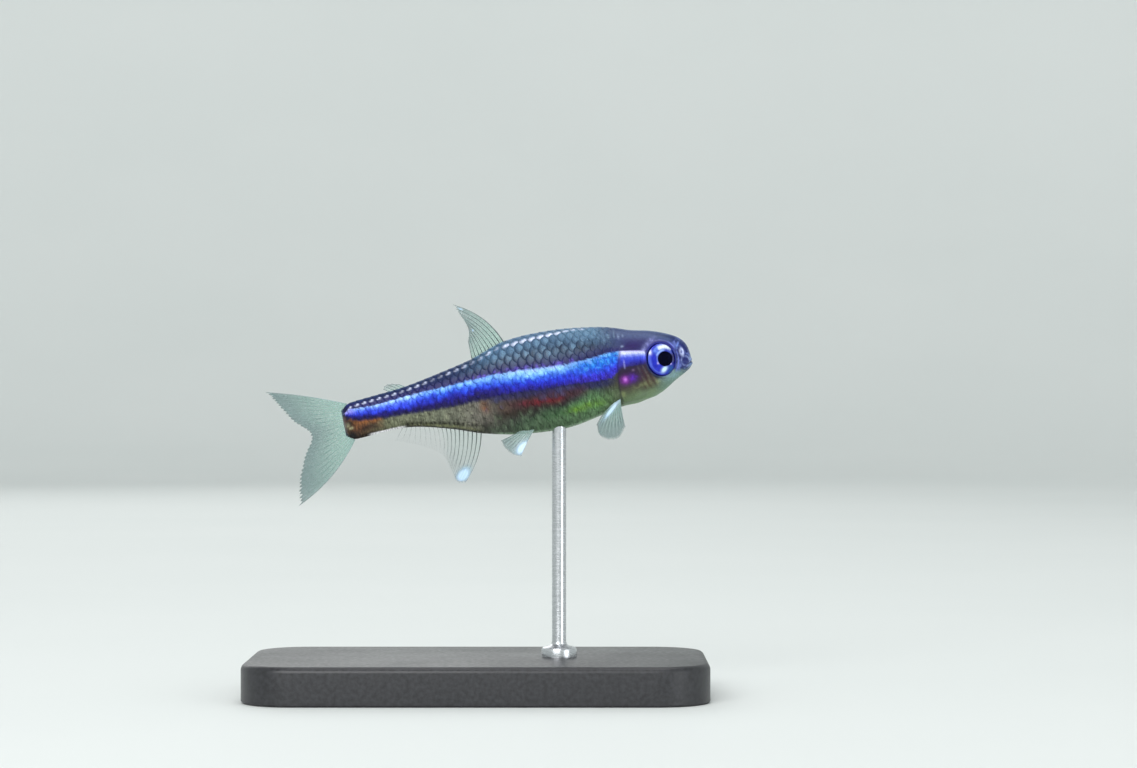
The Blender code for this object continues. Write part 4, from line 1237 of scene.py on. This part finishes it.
def fin_rays(fin):
    """(points, faces, looks) of a fin's rays, as fine jointed tubes."""
    sides = 6
    all_points, all_faces, joints, outs, pales, seens, base = [], [], [], [], [], [], 0
    turns = np.arange(sides) * math.tau / sides
    for across, out, radius in ray_lines(fin):
        middle = fin.point(across, out)
        along = np.gradient(middle, axis=0)
        along = along / np.maximum(np.linalg.norm(along, axis=-1, keepdims=True), 1e-9)
        over_sheet = fin.point(across, out, 0.01) - middle
        over_sheet = over_sheet / np.linalg.norm(over_sheet, axis=-1, keepdims=True)
        beside = np.cross(along, over_sheet)
        tube = middle[:, None] + radius[:, None, None] * (
            np.cos(turns)[None, :, None] * beside[:, None]
            + 0.8 * np.sin(turns)[None, :, None] * over_sheet[:, None]
        )
        points = world(tube.reshape(-1, 3))
        all_points.append(points)
        all_faces += [[base + index for index in face] for face in tube_faces(points, len(out), sides)]
        joints.append(np.repeat(np.abs(np.sin(out * 26)), sides))
        outs.append(np.repeat(np.clip(out, 0, 1), sides))
        pales.append(np.repeat(fin.pale_share(across, out), sides))
        seens.append(np.repeat(fin.seen_share(across), sides))
        base += len(points)
    looks = {
        "joint": np.concatenate(joints), "out": np.concatenate(outs), "pale": np.concatenate(pales),
        "seen": np.concatenate(seens), "dark": np.full(base, fin.dark),
    }
    return np.concatenate(all_points), all_faces, looks


def web_material():
    """A clear fin membrane: pale mint, greyer along its margin, and opaque in its pale patches."""
    n = Nodes("fin_web")
    out, pale = n.attribute("out"), n.attribute("pale")
    grain = n.noise(0.12 * MM, 3.0)
    shade = n.mix(tint(150, 190, 176), tint(74, 110, 112), n.remap(out, 0.1, 0.9, 0.0, 1.0))
    shade = n.mix(shade, tint(132, 168, 160), n.remap(grain, 0.35, 0.7, 0.0, 0.4))
    colour = n.mix(shade, tint(196, 226, 252), pale)
    clear = n.times(n.remap(grain, 0.3, 0.7, 0.8, 1.2), n.attribute("body"))
    clear = n.math("ADD", clear, n.times(n.attribute("ray"), n.times(n.attribute("body"), 0.3)))
    alpha = n.math("MAXIMUM", clear, n.times(pale, 0.85))
    return n.finish(
        Base_Color=colour, Alpha=alpha, Roughness=n.remap(grain, 0.3, 0.7, 0.22, 0.38), Coat_Weight=0.2,
        Coat_Roughness=0.1, Normal=n.bump(grain, 0.006 * MM, 0.5),
    )


def ray_material():
    """Fin rays: pale mint or dark at the root, jointed, clearer towards their tips, white in the patches."""
    n = Nodes("fin_rays")
    joint, out, pale = n.attribute("joint"), n.attribute("out"), n.attribute("pale")
    grain = n.noise(0.2 * MM, 2.0)
    shade = n.mix(tint(180, 212, 210), tint(92, 122, 126), n.remap(out, 0.2, 0.9, 0.0, 1.0))
    dark = n.times(n.attribute("dark"), n.remap(out, 0.05, 0.75, 1.0, 0.55))
    shade = n.mix(shade, tint(30, 44, 44), dark)
    shade = n.mix(shade, tint(40, 54, 64), n.times(n.remap(grain, 0.46, 0.62, 0.0, 0.5), n.attribute("dark")))
    shade = n.mix(shade, tint(60, 78, 84), n.remap(joint, 0.0, 0.3, 0.35, 0.0))
    colour = n.mix(shade, tint(208, 230, 255), pale)
    clear = n.times(n.remap(out, 0.1, 0.9, 0.85, 0.25), n.attribute("seen"))
    alpha = n.math("MAXIMUM", clear, pale)
    rough = n.remap(grain, 0.3, 0.7, 0.25, 0.4)
    return n.finish(Base_Color=colour, Alpha=alpha, Roughness=rough, Coat_Weight=0.2, Coat_Roughness=0.1)


def make_fins():
    web_look, ray_look = web_material(), ray_material()
    for fin in all_fins():
        points, faces, looks = fin_web(fin)
        web = add_piece(fin.name + "_web", points, faces.tolist(), web_look, numbers=looks)
        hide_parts(fin.name)
        points, faces, looks = fin_rays(fin)
        add_piece(fin.name + "_rays", points, faces, ray_look, numbers=looks)


# The stand

def rounded_loop(length, width, corner, height, steps=12):
    points = []
    for k, (x, y) in enumerate(((1, 1), (-1, 1), (-1, -1), (1, -1))):
        for i in range(steps + 1):
            turn = math.pi / 2 * (k + i / steps)
            points.append((
                x * (length / 2 - corner) + corner * math.cos(turn),
                y * (width / 2 - corner) + corner * math.sin(turn),
                height,
            ))
    return points


def stack_loops(name, loops, material, sharp=None):
    """A closed solid through loops of points in mm, all of one length."""
    points = np.array([p for loop in loops for p in loop]) * MM
    return add_piece(name, points, tube_faces(points, len(loops), len(loops[0])), material, sharp=sharp)


def base_material():
    n = Nodes("stand_black")
    grain = n.noise(0.25 * MM, 4.0)
    wide = n.noise(5 * MM, 2.0)
    colour = n.mix(tint(34, 34, 37), tint(48, 48, 52), n.remap(grain, 0.35, 0.65, 0.0, 1.0))
    rough = n.math("ADD", n.remap(grain, 0.3, 0.7, 0.34, 0.46), n.remap(wide, 0.3, 0.7, -0.04, 0.04))
    return n.finish(Base_Color=colour, Roughness=rough, Normal=n.bump(grain, 0.02 * MM, 0.4))


def rod_material():
    n = Nodes("steel_rod")
    stretched = n.add("ShaderNodeMapping", Vector=n.place())
    stretched.inputs["Scale"].default_value = (1.0, 1.0, 12.0)
    lines = n.noise(0.5 * MM, 4.0, stretched.outputs[0])
    colour = n.mix(tint(186, 188, 192), tint(214, 216, 220), lines)
    return n.finish(Base_Color=colour, Metallic=1.0, Roughness=n.remap(lines, 0.3, 0.7, 0.18, 0.34),
                    Normal=n.bump(lines, 0.004 * MM, 0.4))


def make_stand():
    low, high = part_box("stand_base")
    length, width, tall = ((high - low) / MM)[:]
    loops = []
    round_off, corner = 0.35, 3.0
    sizes = [(0.12, 0.0), (0.0, 0.12)]
    for a in np.radians(range(0, 91, 15)):
        sizes.append((round_off * (1 - math.cos(a)), tall - round_off * (1 - math.sin(a))))
    for inset, height in sizes:
        loops.append(rounded_loop(length - 2 * inset, width - 2 * inset, corner - inset, height))
    base = stack_loops("stand_base_plate", loops, base_material(), sharp=40)
    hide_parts("stand_base")
    belly = world(surface(np.array([ROD_UNDER_S]), np.array([math.pi]), -0.25))[0] / MM
    profile = [
        (1.0, tall - 0.02), (1.0, tall + 0.4), (0.96, tall + 0.5), (0.86, tall + 0.56), (0.55, tall + 0.62),
        (0.44, tall + 0.72), (0.4, tall + 0.9), (0.4, belly[2] - 1.0), (0.4, belly[2]),
    ]
    turns = np.arange(48) * math.tau / 48
    loops = [[(belly[0] + r * math.cos(a), r * math.sin(a), z) for a in turns] for r, z in profile]
    rod = stack_loops("stand_rod_steel", loops, rod_material(), sharp=35)
    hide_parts("stand_rod")


# The studio

FLOOR_RADIUS = 0.42
FLOOR_BEND = 0.28
BACKDROP_TOP = 0.5
GLOW = 0.25


def make_floor():
    """A pale round floor that curves up all round into a low glowing backdrop."""
    profile = [(r, 0.0) for r in (0.002, 0.1, 0.2, 0.3, FLOOR_RADIUS)]
    for a in np.radians(range(6, 91, 6)):
        profile.append((FLOOR_RADIUS + FLOOR_BEND * math.sin(a), FLOOR_BEND * (1 - math.cos(a))))
    profile.append((FLOOR_RADIUS + FLOOR_BEND, BACKDROP_TOP))
    points, quads, _, _ = lathe(profile, 96)
    mesh = bpy.data.meshes.new("floor")
    mesh.from_pydata(points.tolist(), [], quads.tolist())
    mesh.shade_smooth()
    floor = bpy.data.objects.new("floor", mesh)
    bpy.context.scene.collection.objects.link(floor)
    n = Nodes("pale_floor")
    cloud = n.noise(0.05, 2.0)
    colour = n.mix(tint(222, 226, 224), tint(228, 231, 229), cloud)
    away = n.add("ShaderNodeVectorMath", {"operation": "LENGTH"})
    n.plug(away.inputs[0], n.place())
    glow = n.remap(away.outputs["Value"], 0.3, 0.75, 0.0, GLOW)
    look = n.finish(Base_Color=colour, Roughness=0.75, Emission_Color=colour, Emission_Strength=glow)
    mesh.materials.append(look)


def add_light(name, at, target, size, power, colour=(1, 1, 1)):
    lamp = bpy.data.lights.new(name, "AREA")
    lamp.shape, lamp.size, lamp.size_y = "RECTANGLE", size[0], size[1]
    lamp.energy, lamp.color = power, colour
    obj = bpy.data.objects.new(name, lamp)
    obj.location = at
    obj.rotation_euler = (Vector(target) - Vector(at)).to_track_quat("-Z", "Y").to_euler()
    bpy.context.scene.collection.objects.link(obj)


def make_studio():
    scene = bpy.context.scene
    scene.view_settings.view_transform = "Standard"
    scene.view_settings.look = "None"
    middle = (0.0, 0.0, 0.017)
    add_light("key", (-0.1, -0.34, 0.2), middle, (0.26, 0.2), 0.95)
    add_light("top", (0.02, 0.0, 0.34), middle, (0.3, 0.16), 0.35)
    add_light("fill", (0.32, -0.26, 0.06), middle, (0.2, 0.2), 0.35, (0.94, 0.97, 1.0))
    add_light("back", (-0.1, 0.3, 0.16), middle, (0.25, 0.15), 0.15)
    world_look = bpy.data.worlds.new("studio")
    scene.world = world_look
    world_look.use_nodes = True
    background = world_look.node_tree.nodes["Background"]
    background.inputs["Color"].default_value = (0.86, 0.91, 0.93, 1)
    background.inputs["Strength"].default_value = 0.5


FRAME_MM = 64.4
LENS_MM = 100.0
SENSOR_MM = 36.0
TARGET = (5.14, 0.0, 17.63)


def make_camera():
    data = bpy.data.cameras.new("camera")
    data.lens, data.sensor_width, data.sensor_fit = LENS_MM, SENSOR_MM, "HORIZONTAL"
    data.clip_start, data.clip_end = 0.005, 10.0
    camera = bpy.data.objects.new("camera", data)
    distance = FRAME_MM * LENS_MM / SENSOR_MM
    camera.location = (TARGET[0] * MM, (TARGET[1] - distance) * MM, TARGET[2] * MM)
    camera.rotation_euler = (math.pi / 2, 0, 0)
    bpy.context.scene.collection.objects.link(camera)
    bpy.context.scene.camera = camera


make_camera()
make_studio()
make_floor()
make_skin()
make_scales("scales_right", -1)
make_scales("scales_left", 1)
make_eyes()
make_fins()
make_stand()
